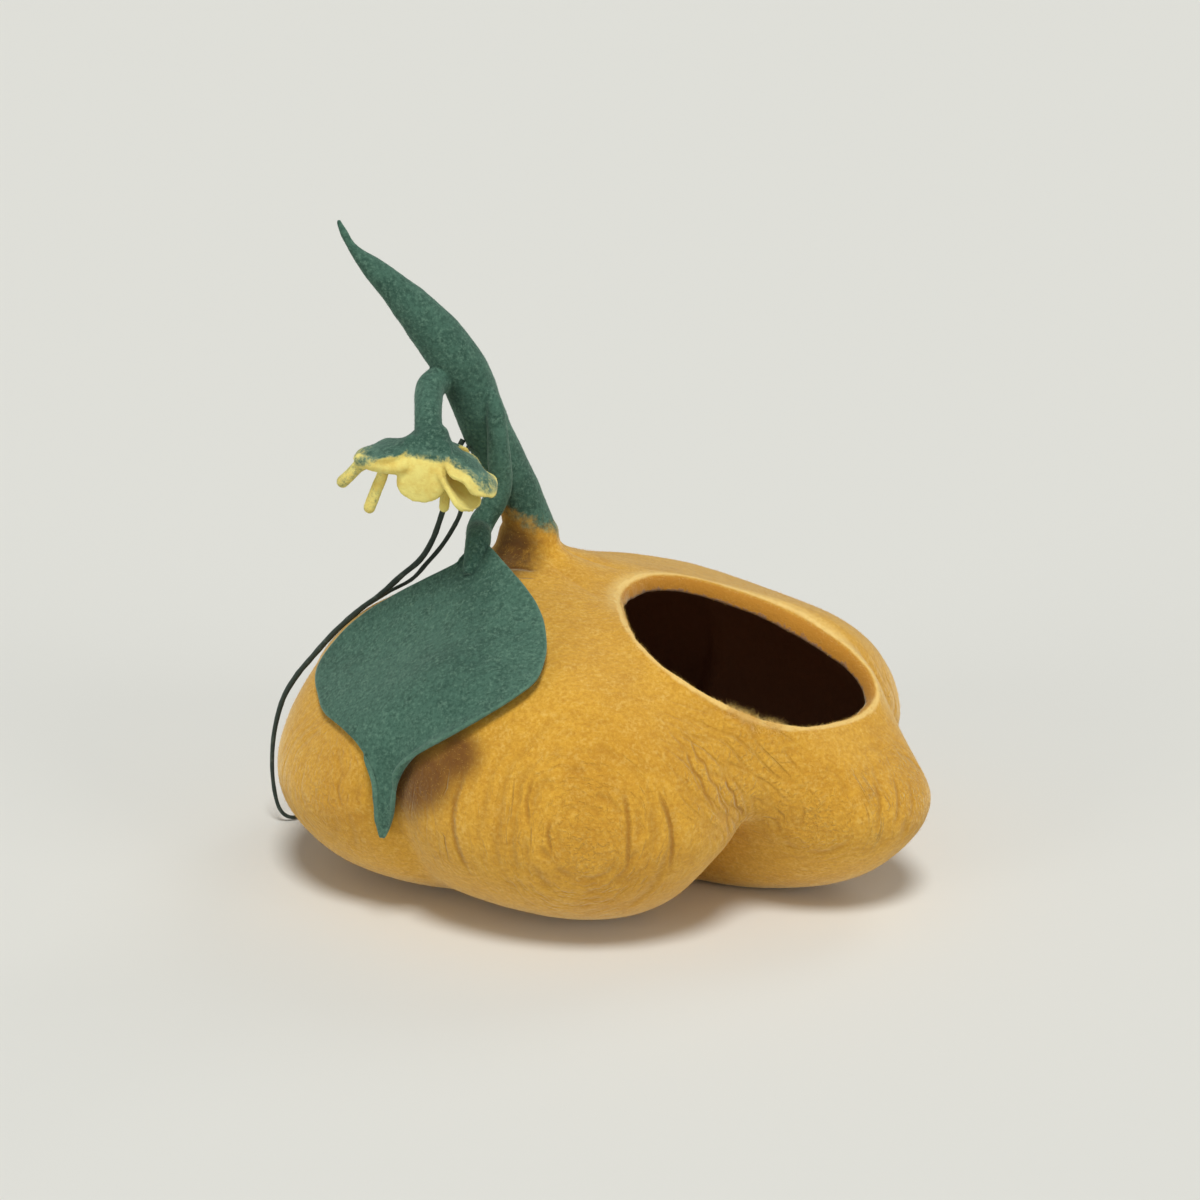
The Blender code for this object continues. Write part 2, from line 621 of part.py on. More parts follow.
def finger(row, material):
    """One narrow finger of felt from the flower's middle."""
    frame = flower_frame()
    rows = [{"at": frame @ Vector(spot), "radius": row["radius"]} for spot in row["route"]]
    rows[-1]["radius"] *= FINGER_TIP_SHARE
    down = frame.to_3x3() @ Vector((0.0, 0.0, -1.0))
    return smooth_tube(row["name"], rows, FINGER_STEPS, FINGER_SIDES, material, down)


# ------------------------------------------------------------------------------------------------------ tendrils
def tendril(name, shape, material):
    """A thin felt cord along its route."""
    route = [Vector(point) for point in shape["route"]]
    data = bpy.data.curves.new(name, "CURVE")
    data.dimensions = "3D"
    data.bevel_depth = shape["radius"]
    data.bevel_resolution = 2
    data.use_fill_caps = True
    spline = data.splines.new("POLY")
    spline.points.add(shape["points"] - 1)
    for k, spot in enumerate(spline.points):
        place = (len(route) - 1) * k / (shape["points"] - 1)
        spot.co = (*smooth_at(route, place), 1.0)
    return add_object(name, data, material)


def build():
    """Every sub-part of the cave."""
    clear_scene()
    yellow = felt("felt_mustard", YELLOW)
    green = felt("felt_green", GREEN)
    pale = felt("felt_petal", PALE_YELLOW)
    dark = felt("felt_tendril", DARK_GREEN)
    skin = gourd_skin(FINE_COLUMNS, FINE_STEPS)
    tree = BVHTree.FromBMesh(skin)
    skin.free()
    cave_shell(yellow)
    smooth_tube("stem", STEM, STEM_STEPS, STEM_SIDES, green, Vector((0.0, 0.0, 1.0)))
    leaf(green, tree)
    calyx(green)
    for row in PETALS:
        petal(row, pale)
    for row in FINGERS:
        finger(row, pale)
    tendril("tendril_long", TENDRIL_LONG, dark)
    tendril("tendril_short", TENDRIL_SHORT, dark)


build()
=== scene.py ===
# %% [markdown]
# # A felt cat cave, piece by piece
#
# The real thing is a hollow gourd of wet-felted wool that a cat sleeps in. A green stem grows from its yellow neck,
# a small flower hangs from the stem, a leaf on a stalk is draped over the front, and two thin cords run down beside
# it. The solids come from the packed model and stay where they are. This lesson makes the same pieces again with the
# finish of real felt, in the same places and in metres.

# %% Load the frame
import math

import bmesh
import bpy
from mathutils import Matrix, Vector, noise
from mathutils.bvhtree import BVHTree


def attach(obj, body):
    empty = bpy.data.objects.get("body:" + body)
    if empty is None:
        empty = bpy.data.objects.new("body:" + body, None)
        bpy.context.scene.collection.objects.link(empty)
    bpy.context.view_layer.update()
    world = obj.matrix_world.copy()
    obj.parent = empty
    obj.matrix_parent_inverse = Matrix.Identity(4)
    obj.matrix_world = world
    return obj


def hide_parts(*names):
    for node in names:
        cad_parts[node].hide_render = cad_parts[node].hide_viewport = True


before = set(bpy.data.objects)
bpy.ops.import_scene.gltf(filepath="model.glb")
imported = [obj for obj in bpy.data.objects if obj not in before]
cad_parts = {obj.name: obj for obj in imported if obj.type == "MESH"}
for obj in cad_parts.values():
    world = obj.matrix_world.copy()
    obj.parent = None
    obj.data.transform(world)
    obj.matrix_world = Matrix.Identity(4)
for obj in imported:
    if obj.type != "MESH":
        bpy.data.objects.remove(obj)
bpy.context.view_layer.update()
print("CAD nodes:", ", ".join(sorted(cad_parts)))

# %% [markdown]
# ## The camera
#
# The photograph looks down on the cave by 18 degrees from two metres away. A camera could be fitted by a solver, but
# two numbers read from the picture are enough here: the body's width in pixels gives the lens, and the tall stem
# against the low floor gives the angle.

# %% Place the camera
ELEVATION = math.radians(18.0)
CAMERA_REACH = 2.0
LOOKS_AT = Vector((0.0, 0.0, 0.207))
PHOTO_SIDE = 1200
LENS_PIXELS = 2558
SENSOR = 36.0


def place_camera():
    """The photograph's view point."""
    data = bpy.data.cameras.new("photo_view")
    data.sensor_width = SENSOR
    data.lens = SENSOR * LENS_PIXELS / PHOTO_SIDE
    data.clip_end = 200.0
    camera = bpy.data.objects.new("photo_view", data)
    camera.location = LOOKS_AT + CAMERA_REACH * Vector((0.0, -math.cos(ELEVATION), math.sin(ELEVATION)))
    camera.rotation_euler = (math.pi / 2.0 - ELEVATION, 0.0, 0.0)
    bpy.context.scene.collection.objects.link(camera)
    bpy.context.scene.camera = camera
    return camera


camera = place_camera()
print("camera at", tuple(round(value, 3) for value in camera.location))

# %% [markdown]
# ## Smooth curves through short tables
#
# A maker shapes the wool by hand between a few places that matter. Here those places are rows of a table with named
# columns, and one curve passes through all of them, so that every edge and outline is a single smooth line. The same
# few helpers serve the cords, the stem, the gourd and the leaf.

# %% Read a table as a smooth curve


def between(a, b, c, d, t):
    """Smooth value between b and c, for numbers or vectors."""
    return 0.5 * (2.0 * b + (c - a) * t + (2.0 * a - 5.0 * b + 4.0 * c - d) * t * t
                  + (3.0 * b - a - 3.0 * c + d) * t ** 3)


def smooth_at(values, place):
    """Read a list of numbers or vectors as a smooth curve; place runs from 0 to the last index."""
    last = len(values) - 1
    k = min(int(place), last - 1)
    before, after = values[max(k - 1, 0)], values[min(k + 2, last)]
    return between(before, values[k], values[k + 1], after, place - k)


def smooth_round(values, turn):
    """Read a list as a closed smooth curve; turn runs from 0 to 1."""
    count = len(values)
    place = (turn % 1.0) * count
    k = int(place)
    picked = [values[(k + step) % count] for step in (-1, 0, 1, 2)]
    return between(*picked, place - k)


def table(columns, *rows):
    """Rows of values with a name for each column."""
    return [dict(zip(columns, row)) for row in rows]


def column(rows, key):
    """One named column of a table."""
    return [row[key] for row in rows]


def fade(low, high, value):
    """0 below low, 1 above high and smooth between them."""
    share = min(max((value - low) / (high - low), 0.0), 1.0)
    return share * share * (3.0 - 2.0 * share)


def outward(azimuth):
    """Level direction at an azimuth in degrees from the front."""
    angle = math.radians(azimuth)
    return Vector((math.sin(angle), -math.cos(angle), 0.0))


print("half way between 0 and 1 of 0, 0, 1, 1:", smooth_at([0.0, 0.0, 1.0, 1.0], 1.5))

# %% [markdown]
# ## Node trees written as sums
#
# Felt has no pattern that a picture would be needed for: it is noise at a few sizes, laid over each other. A node
# tree adds and multiplies noise with Math nodes, and dozens of those are hard to read. One small class wraps a socket
# and overloads the signs, so that a line such as `0.7 * clumps + 0.3 * fibres` adds its nodes by itself. The same
# class serves materials and Geometry Nodes.

# %% The socket class


class Strand:
    """One output socket that Python's own signs work on."""

    def __init__(self, loom, socket):
        self.loom = loom
        self.socket = socket

    def sum(self, operation, *others):
        """A Math node on this value and others."""
        return self.loom.node("ShaderNodeMath", {"operation": operation}, dict(enumerate((self, *others))))

    def __add__(self, other):
        return self.sum("ADD", other)

    def __sub__(self, other):
        return self.sum("SUBTRACT", other)

    def __mul__(self, other):
        return self.sum("MULTIPLY", other)

    def __truediv__(self, other):
        return self.sum("DIVIDE", other)

    def __rsub__(self, other):
        return (self * -1.0) + other

    __radd__ = __add__
    __rmul__ = __mul__

    def __abs__(self):
        return self.sum("ABSOLUTE")

    def fade(self, low, high):
        """0 below low, 1 above high and smooth between them."""
        return self.loom.node("ShaderNodeMapRange", {"interpolation_type": "SMOOTHSTEP"},
                              {"Value": self, "From Min": low, "From Max": high})

    def parts(self):
        """The three numbers of a vector."""
        return [self.loom.node("ShaderNodeSeparateXYZ", {}, {0: self}, out) for out in range(3)]


class Loom:
    """A node tree that nodes are added to by one method."""

    def __init__(self, tree):
        self.tree = tree

    def node(self, kind, settings=None, values=None, out=0):
        """Add a node: its settings first, then the values or links of its sockets."""
        made = self.tree.nodes.new(kind)
        for name, setting in (settings or {}).items():
            setattr(made, name, setting)
        for name, value in (values or {}).items():
            socket = made.inputs[name]
            if isinstance(value, Strand):
                self.tree.links.new(value.socket, socket)
            else:
                socket.default_value = value
        return Strand(self, made.outputs[out])

    def noise(self, place, scale, detail=2.0, roughness=0.5, distortion=0.0):
        """Cloudy noise around 0.5; scale is in clouds per metre."""
        return self.node("ShaderNodeTexNoise", {"noise_dimensions": "3D"},
                         {"Vector": place, "Scale": scale, "Detail": detail, "Roughness": roughness,
                          "Distortion": distortion})

    def vector(self, operation, *values, out=0):
        """A Vector Math node."""
        return self.node("ShaderNodeVectorMath", {"operation": operation}, dict(enumerate(values)), out)

    def scaled(self, way, amount):
        """A vector made longer or shorter."""
        return self.node("ShaderNodeVectorMath", {"operation": "SCALE"}, {"Vector": way, "Scale": amount})

    def joined(self, x, y, z):
        """A vector of three numbers."""
        return self.node("ShaderNodeCombineXYZ", {}, {0: x, 1: y, 2: z})

    def mixed(self, first, second, share):
        """The second colour over the first."""
        return self.node("ShaderNodeMix", {"data_type": "RGBA"}, {0: share, 6: first, 7: second}, 2)


print("a strand has", len([name for name in vars(Strand) if name.startswith("__r")]), "reflected signs")

# %% [markdown]
# ## Geometry Nodes with named sizes
#
# What repeats over the felt, such as loose wool fibres, or follows its surface, such as the shallow dents that hands
# leave, is made by Geometry Nodes. Each tree is built here in the script and has named inputs. The result is turned
# into a plain mesh, because the export knows no modifiers of that kind.

# %% Trees with named inputs


class Treatment(Loom):
    """A Geometry Nodes tree with a mesh input, named inputs and a material."""

    def __init__(self, name, sizes):
        super().__init__(bpy.data.node_groups.new(name, "GeometryNodeTree"))
        sockets = self.tree.interface
        sockets.new_socket("Geometry", in_out="INPUT", socket_type="NodeSocketGeometry")
        sockets.new_socket("Geometry", in_out="OUTPUT", socket_type="NodeSocketGeometry")
        finish = sockets.new_socket("Finish", in_out="INPUT", socket_type="NodeSocketMaterial")
        self.knobs = {"Finish": finish.identifier}
        for label, value in sizes.items():
            kind = "NodeSocketInt" if isinstance(value, int) else "NodeSocketFloat"
            made = sockets.new_socket(label, in_out="INPUT", socket_type=kind)
            made.default_value = value
            self.knobs[label] = made.identifier
        self.given = self.tree.nodes.new("NodeGroupInput")

    def read(self, label):
        """A named input."""
        return Strand(self, self.given.outputs[label])

    def attribute(self, name, kind="FLOAT"):
        """A number that the mesh carries at its corners."""
        return self.node("GeometryNodeInputNamedAttribute", {"data_type": kind}, {"Name": name})

    def close(self, shape):
        """End the tree in Realize Instances and Set Material."""
        real = self.node("GeometryNodeRealizeInstances", {}, {0: shape})
        dressed = self.node("GeometryNodeSetMaterial", {}, {"Geometry": real, "Material": self.read("Finish")})
        out = self.tree.nodes.new("NodeGroupOutput")
        self.tree.links.new(dressed.socket, out.inputs[0])

    def apply(self, thing, finish, name, **sizes):
        """Run the tree on an object and give the result as a plain mesh."""
        modifier = thing.modifiers.new(self.tree.name, "NODES")
        modifier.node_group = self.tree
        modifier[self.knobs["Finish"]] = finish
        for label, value in sizes.items():
            modifier[self.knobs[label]] = value
        mesh = plain_mesh(thing, name)
        thing.modifiers.remove(modifier)
        return mesh


def plain_mesh(thing, name):
    """The mesh that an object's modifiers make."""
    bpy.context.view_layer.update()
    seen = thing.evaluated_get(bpy.context.evaluated_depsgraph_get())
    mesh = bpy.data.meshes.new_from_object(seen)
    mesh.name = name
    return mesh


def new_piece(name, mesh, *finishes):
    """An object at the origin with its finishes."""
    thing = bpy.data.objects.new(name, mesh)
    for finish in finishes:
        mesh.materials.append(finish)
    bpy.context.scene.collection.objects.link(thing)
    return thing


def triangles(thing):
    """How many triangles a mesh has."""
    thing.data.calc_loop_triangles()
    return len(thing.data.loop_triangles)


print("Geometry Nodes results become plain meshes")

# %% [markdown]
# ## Wool colours
#
# The colours are read from the photograph and given as a paint shop would, from 0 to 255. A render works with
# linear light, so each number is converted once.

# %% Dyes


def dye(red, green, blue):
    """A colour of 0 to 255 as linear light."""
    shares = [value / 255.0 for value in (red, green, blue)]
    return (*[share / 12.92 if share <= 0.04045 else ((share + 0.055) / 1.055) ** 2.4 for share in shares], 1.0)


MUSTARD = dye(217, 165, 58)
MUSTARD_PALE = dye(236, 196, 104)
MUSTARD_DEEP = dye(184, 128, 38)
MUSTARD_EDGE_AND_HIGHLIGHT = dye(244, 212, 134)
FOLD_SHADE_BROWN = dye(150, 98, 30)
SHADE_BROWN = dye(112, 70, 28)
MUSTARD_BAND_SHADE = dye(186, 126, 44)
INSIDE_BROWN = dye(152, 114, 86)
INSIDE_LIGHT = dye(166, 124, 90)
INSIDE_LIT_ORANGE = dye(214, 156, 56)
STAIN_AND_SHADE_BROWN = dye(80, 48, 24)
GREEN = dye(72, 106, 90)
GREEN_PALE = dye(106, 140, 120)
GREEN_DEEP = dye(40, 68, 57)
PETAL_YELLOW = dye(234, 220, 128)
PETAL_OCHRE = dye(206, 164, 60)
CORD_GREEN = dye(56, 66, 60)
CORD_PALE = dye(98, 108, 98)
print("mustard in linear light:", tuple(round(value, 3) for value in MUSTARD[:3]))

# %% [markdown]
# ## The nap of felt
#
# Wet-felted wool is matt and cloudy: clumps of wool a few centimetres wide, matted locks of some millimetres and
# single fibres on top. Light grazes the loose ends, which gives felt its pale rim. The Principled shader's sheen does
# that, so it is set once on its own socket, and only the colour and the bump vary over the surface.

# %% Felt as a material


FELT_MATT = {"Roughness": 0.95, "Specular IOR Level": 0.15, "Sheen Roughness": 0.45}
NAP = table(
    ("scale", "detail", "roughness", "distortion"),
    (16.0, 3.0, 0.55, 0.0),
    (105.0, 4.0, 0.72, 0.15),
    (360.0, 3.0, 0.72, 0.0),
)


class Felt(Loom):
    """A matt wool material."""

    def __init__(self, name, sheen, sheen_tint):
        material = bpy.data.materials.new(name)
        material.use_nodes = True
        super().__init__(material.node_tree)
        self.material = material
        self.shader = material.node_tree.nodes["Principled BSDF"]
        for label, value in {**FELT_MATT, "Sheen Weight": sheen, "Sheen Tint": sheen_tint}.items():
            self.shader.inputs[label].default_value = value
        self.place = self.node("ShaderNodeTexCoord", {}, {}, 3)

    def attribute(self, name, out=2):
        """A number (out 2) or vector (out 1) that the mesh carries."""
        return self.node("ShaderNodeAttribute", {"attribute_type": "GEOMETRY", "attribute_name": name}, {}, out)

    def near(self, spot, inner, outer):
        """1 within inner metres of a spot and 0 beyond outer."""
        return 1.0 - self.vector("DISTANCE", self.place, spot, out=1).fade(inner, outer)

    def nap(self):
        """Clumps, locks and fibres: three sizes of noise."""
        return [self.noise(self.place, **row) for row in NAP]

    def wear(self, colour, height, depth):
        """Give the shader its colour and its relief; depth is in metres."""
        bump = self.node("ShaderNodeBump", {}, {"Strength": 1.0, "Distance": depth, "Height": height})
        self.tree.links.new(colour.socket, self.shader.inputs["Base Color"])
        self.tree.links.new(bump.socket, self.shader.inputs["Normal"])
        return self.material


print("felt: roughness", FELT_MATT["Roughness"], "with noise of", column(NAP, "scale"), "clouds a metre")

# %% [markdown]
# ## Two tendrils
#
# The tendrils are thin felted cords: they leave the stem, hang in the air and then lie over the gourd's shoulder, and
# the long one reaches the floor. A cord has one length, so its route is fixed first and its thickness after. Curve to
# Mesh sweeps a ring along the route, and a little noise in the radius makes it look rolled by hand.

# %% Lay the cords
TENDRIL_LONG = (
    (-0.1056, 0.0122, 0.3330), (-0.1120, 0.0070, 0.3210), (-0.1155, 0.0000, 0.3060),
    (-0.1180, -0.0050, 0.2920), (-0.1225, -0.0060, 0.2770), (-0.1300, 0.0000, 0.2560),
    (-0.1405, 0.0060, 0.2380), (-0.1560, 0.0120, 0.2230), (-0.1735, 0.0180, 0.2053),
    (-0.1900, 0.0240, 0.1915), (-0.2120, 0.0320, 0.1695), (-0.2330, 0.0400, 0.1440),
    (-0.2455, 0.0430, 0.1280), (-0.2570, 0.0440, 0.1080), (-0.2650, 0.0450, 0.0800),
    (-0.2680, 0.0450, 0.0520), (-0.2670, 0.0450, 0.0280), (-0.2630, 0.0455, 0.0110),
    (-0.2550, 0.0480, 0.0032), (-0.2430, 0.0560, 0.0025), (-0.2290, 0.0700, 0.0025),
)
TENDRIL_SHORT = (
    (-0.1013, 0.0074, 0.3290), (-0.1048, -0.0020, 0.3140), (-0.1055, -0.0060, 0.2980),
    (-0.1075, -0.0040, 0.2800), (-0.1145, 0.0020, 0.2640), (-0.1240, 0.0060, 0.2485),
    (-0.1355, 0.0100, 0.2340), (-0.1480, 0.0160, 0.2190), (-0.1660, 0.0260, 0.2060),
    (-0.1850, 0.0400, 0.1900),
)
ROUTE_POINTS = 40
SWEEP_POINTS = 220
TAPERED_FROM = 0.55
ROLLED_CLOUDS = 90.0


def cord_finish():
    """Dark green wool, rolled thin, with paler fibres round it."""
    felt = Felt("tendril wool", 0.25, (0.7, 0.8, 0.72, 1.0))
    _, locks, fibres = felt.nap()
    pale = (0.6 * locks + 0.4 * fibres).fade(0.5, 0.68)
    colour = felt.mixed(CORD_GREEN, CORD_PALE, 0.6 * pale)
    return felt.wear(colour, 0.5 * locks + 0.5 * fibres, 0.0008)


def rolled_cord():
    """A ring swept along the route, a little uneven."""
    sweep = Treatment("rolled cord", {"Radius": 0.002, "Taper": 0.35, "Unevenness": 0.22, "Sides": 10})
    spot = sweep.node("GeometryNodeInputPosition")
    uneven = (sweep.noise(spot, ROLLED_CLOUDS, 2.0) - 0.5) * sweep.read("Unevenness") * 2.0
    along = sweep.node("GeometryNodeSplineParameter")
    radius = sweep.read("Radius") * (1.0 + uneven) * (1.0 - along.fade(TAPERED_FROM, 1.0) * sweep.read("Taper"))
    ring = sweep.node("GeometryNodeCurvePrimitiveCircle", {}, {"Resolution": sweep.read("Sides"), "Radius": 1.0})
    swept = sweep.node("GeometryNodeCurveToMesh", {}, {
        "Curve": sweep.read("Geometry"), "Profile Curve": ring, "Scale": radius, "Fill Caps": True})
    sweep.close(sweep.node("GeometryNodeSetShadeSmooth", {}, {0: swept}))
    return sweep


def lay_cord(name, route, radius, finish):
    """One felted cord along its route; its length is printed."""
    points = [Vector(point) for point in route]
    last = len(points) - 1
    fine = [smooth_at(points, last * k / (SWEEP_POINTS - 1)) for k in range(SWEEP_POINTS)]
    curve = bpy.data.curves.new(name + "_route", "CURVE")
    curve.dimensions = "3D"
    spline = curve.splines.new("POLY")
    spline.points.add(len(fine) - 1)
    for spot, point in zip(spline.points, fine):
        spot.co = (*point, 1.0)
    guide = bpy.data.objects.new(name + "_route", curve)
    bpy.context.scene.collection.objects.link(guide)
    cord = new_piece(name, rolled_cord().apply(guide, finish, name, Radius=radius))
    bpy.data.objects.remove(guide, do_unlink=True)
    length = sum((b - a).length for a, b in zip(fine, fine[1:]))
    path = [smooth_at(points, last * k / (ROUTE_POINTS - 1)) for k in range(ROUTE_POINTS)]
    print(name, "is", round(length, 3), "m long and", triangles(cord), "triangles")
    return cord


cord_wool = cord_finish()
for cord_name, cord_route, cord_radius in (
        ("tendril_long", TENDRIL_LONG, 0.0023), ("tendril_short", TENDRIL_SHORT, 0.0018)):
    felted_cord = lay_cord("felted_" + cord_name, cord_route, cord_radius, cord_wool)
    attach(felted_cord, "root")
    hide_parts(cord_name)

# %% [markdown]
# ## The gourd's form
#
# Six lobes of different size meet in creases, and the wall rises from a flat underside to the yellow neck. A gourd's
# shape follows a rule: a plan ellipse, a table of levels and a table of lobes. The same rule that made the solid
# makes the skin here, with three times as many columns, so that both lie in the same place.

# %% The rule of the lobes
HALF_WIDTH = 0.262
HALF_DEPTH = 0.225
WALL = 0.006
NECK_AT = Vector((-0.056, 0.030, 0.0))
LOBES = table(
    ("azimuth", "side", "foot", "swell", "rise", "round"),
    (-95.0, 0.60, 0.50, 0.995, 0.86, 0.62),
    (-43.0, 0.62, 0.15, 1.00, 1.00, 0.57),
    (35.0, 1.00, 1.15, 1.08, 0.76, 0.82),
    (88.0, 0.95, 0.60, 1.00, 0.93, 0.66),
    (150.0, 0.60, 0.60, 0.98, 0.92, 0.62),
    (208.0, 0.60, 0.50, 0.98, 0.94, 0.62),
)
SECTION_COLUMNS = ("lobe_reach", "lobe_z", "crease_reach", "crease_z", "rise", "foot", "shift")
SECTIONS = table(
    SECTION_COLUMNS,
    (0.000, 0.000, 0.000, 0.000, 0.0, 1.0, 0.00),
    (0.340, 0.000, 0.300, 0.000, 0.0, 1.0, 0.00),
    (0.590, 0.000, 0.400, 0.024, 0.0, 1.0, 0.00),
    (0.860, 0.027, 0.600, 0.066, 0.2, 0.7, 0.00),
    (1.000, 0.084, 0.790, 0.094, 0.6, 0.1, 0.00),
    (0.940, 0.144, 0.800, 0.142, 1.0, 0.0, 0.00),
    (0.760, 0.189, 0.705, 0.185, 1.0, 0.0, 0.05),
    (0.500, 0.213, 0.475, 0.210, 0.6, 0.0, 0.35),
    (0.250, 0.227, 0.240, 0.224, 0.1, 0.0, 0.85),
    (0.115, 0.240, 0.112, 0.239, 0.0, 0.0, 1.00),
    (0.086, 0.258, 0.086, 0.258, 0.0, 0.0, 1.00),
    (0.062, 0.268, 0.062, 0.268, 0.0, 0.0, 1.00),
)


def lobe_at(azimuth, foot_share):
    """How full the gourd is at an azimuth (0 in the deepest crease, 1 on a lobe), and its swell and rise there."""
    for k, lobe in enumerate(LOBES):
        following = LOBES[(k + 1) % len(LOBES)]
        span = (following["azimuth"] - lobe["azimuth"]) % 360.0
        share = ((azimuth - lobe["azimuth"]) % 360.0) / span
        if share < 1.0:
            starts, ends = (row["side"] + (row["foot"] - row["side"]) * foot_share for row in (lobe, following))
            depth = starts * (1.0 - share) + ends * share
            bulge = math.sin(math.pi * share) ** lobe["round"]
            swell, rise = (1.0 + (lobe[key] - 1.0) * bulge for key in ("swell", "rise"))
            return 1.0 - depth * (1.0 - bulge), swell, rise
    return 1.0, 1.0, 1.0


def wall_point(azimuth, place):
    """A point of the outer wall; place counts sections upwards."""
    angle = math.radians(azimuth)
    plan = 1.0 / math.hypot(math.sin(angle) / HALF_WIDTH, math.cos(angle) / HALF_DEPTH)
    level = {key: smooth_at(column(SECTIONS, key), place) for key in SECTION_COLUMNS}
    fullness, swell, rise = lobe_at(azimuth, level["foot"])
    reach = level["lobe_reach"] * swell * fullness + level["crease_reach"] * (1.0 - fullness)
    raised = 1.0 + (rise - 1.0) * level["rise"]
    height = level["lobe_z"] * raised * fullness + level["crease_z"] * (1.0 - fullness)
    return outward(azimuth) * reach * plan + NECK_AT * level["shift"] + Vector((0.0, 0.0, max(height, 0.0)))


print("the front lobe's middle is at", tuple(round(value, 3) for value in wall_point(-3.0, 4.3)))

# %% Knit the skin
COLUMNS = 180
STEPS_PER_SECTION = 6


def gourd_skin(columns, steps):
    """The closed outer skin of the gourd, with a ring of columns for each step up the sections."""
    bm = bmesh.new()
    rings = []
    for k in range(1, (len(SECTIONS) - 1) * steps + 1):
        rings.append([bm.verts.new(wall_point(360.0 * n / columns, k / steps)) for n in range(columns)])
    for low, high in zip(rings, rings[1:]):
        for n in range(columns):
            bm.faces.new((low[n], low[(n + 1) % columns], high[(n + 1) % columns], high[n]))
    for ring in (rings[0], rings[-1]):
        middle = bm.verts.new(sum((v.co for v in ring), Vector()) / columns)
        for n in range(columns):
            bm.faces.new((ring[n], ring[(n + 1) % columns], middle))
    bmesh.ops.recalc_face_normals(bm, faces=bm.faces)
    return bm


skin = gourd_skin(COLUMNS, STEPS_PER_SECTION)
SKIN_TREE = BVHTree.FromBMesh(skin)
print("the skin has", len(skin.faces), "faces")

# %% [markdown]
# ## The mouth
#
# The maker cuts the mouth with scissors and rubs its edge inwards while the wool is wet, most at the far side. The
# cut lies in a tilted plane, so its outline is a table of eight reaches round the plane's middle. The skin's corners
# nearest the cut are laid on it, their neighbours are evened out, and the edge is drawn in by small steps.

# %% Open the mouth and turn its edge in
MOUTH_AT = Vector((0.117, -0.058, 0.187))
MOUTH_FACES = Vector((0.27, -0.20, 0.94)).normalized()
MOUTH_RIM = table(
    ("reach", "turn_in"),
    (0.103, 0.009),
    (0.079, 0.012),
    (0.083, 0.011),
    (0.117, 0.010),
    (0.105, 0.005),
    (0.101, 0.002),
    (0.095, 0.002),
    (0.088, 0.003),
)
MOUTH_DEPTH = 0.08
ABOVE_MOUTH = 0.1
RELAXED_OUT_TO = 1.25
RELAX_ROUNDS = 8
RELAX_SHARE = 0.6
RIM_LEVEL_ROUNDS = 60
RIM_UNEVEN = 0.0012
RIM_CLOUDS = (5.0, 20.0)
FILLED = (1.15, 1.75)
FILLED_BESIDE = (-0.02, 0.03)
FILL_ROUNDS = 70
FILL_SHARE = 0.5
FULL_TURN = 0.013
CURL = ((0.24, 0.03), (0.24, 0.12), (0.22, 0.22), (0.17, 0.29), (0.13, 0.34))


def mouth_frame():
    """Axes of the mouth's plane: to its right-hand corner, to its far side, and out."""
    right = Vector((1.0, 0.0, 0.0))
    right = (right - MOUTH_FACES * right.dot(MOUTH_FACES)).normalized()
    return right, MOUTH_FACES.cross(right), MOUTH_FACES


MOUTH_AXES = mouth_frame()


def mouth_polar(point):
    """A point's turn about the mouth (0 to 1) and its distance as a share of the rim's."""
    right, far, _ = MOUTH_AXES
    offset = point - MOUTH_AT
    x, y = offset.dot(right), offset.dot(far)
    turn = (math.atan2(y, x) / (2.0 * math.pi)) % 1.0
    return turn, math.hypot(x, y) / smooth_round(column(MOUTH_RIM, "reach"), turn)


def by_the_mouth(point):
    """Whether a point is on the mouth's side of the gourd."""
    return (point - MOUTH_AT).dot(MOUTH_FACES) > -MOUTH_DEPTH


def rim_point(turn):
    """The rim's place on the gourd's skin."""
    right, far, out = MOUTH_AXES
    angle = 2.0 * math.pi * turn
    reach = smooth_round(column(MOUTH_RIM, "reach"), turn)
    above = MOUTH_AT + reach * (math.cos(angle) * right + math.sin(angle) * far) + ABOVE_MOUTH * out
    return SKIN_TREE.ray_cast(above, -out)[0]


def levelled(points):
    """The rim with its dips evened out along its length and the small unevenness of a cut by hand."""
    out = MOUTH_FACES
    heights = [(point - MOUTH_AT).dot(out) for point in points]
    flat = [point - out * height for point, height in zip(points, heights)]
    for _ in range(RIM_LEVEL_ROUNDS):
        heights = [(heights[k - 1] + heights[k] + heights[(k + 1) % len(heights)]) / 3.0 for k in range(len(heights))]
    made = []
    for point, height in zip(flat, heights):
        ring = (point - MOUTH_AT).normalized()
        uneven = sum(RIM_UNEVEN * noise.noise(ring * clouds) for clouds in RIM_CLOUDS)
        made.append(point + ring * uneven + out * height)
    return made


def loop_order(edges):
    """The corners of a closed run of edges, in order."""
    order = [edges[0].verts[0]]
    edge = edges[0]
    while len(order) < len(edges):
        vert = edge.other_vert(order[-1])
        order.append(vert)
        edge = next(other for other in vert.link_edges if other.is_boundary and other is not edge)
    return order


def evened_turns(rim):
    """Each rim corner's turn about the mouth, evened out along the rim so that none pass each other."""
    first = mouth_polar(rim[0].co)[0]
    turns = [(mouth_polar(vert.co)[0] - first + 0.5) % 1.0 - 0.5 for vert in rim]
    for k in range(1, len(turns)):
        turns[k] = turns[k - 1] + (turns[k] - turns[k - 1] + 0.5) % 1.0 - 0.5
    whole = 1.0 if turns[-1] > 0.0 else -1.0
    for _ in range(3 * RELAX_ROUNDS):
        before = [turns[-1] - whole] + turns[:-1]
        after = turns[1:] + [turns[0] + whole]
        turns = [(low + high) / 2.0 for low, high in zip(before, after)]
    return [first + turn for turn in turns]


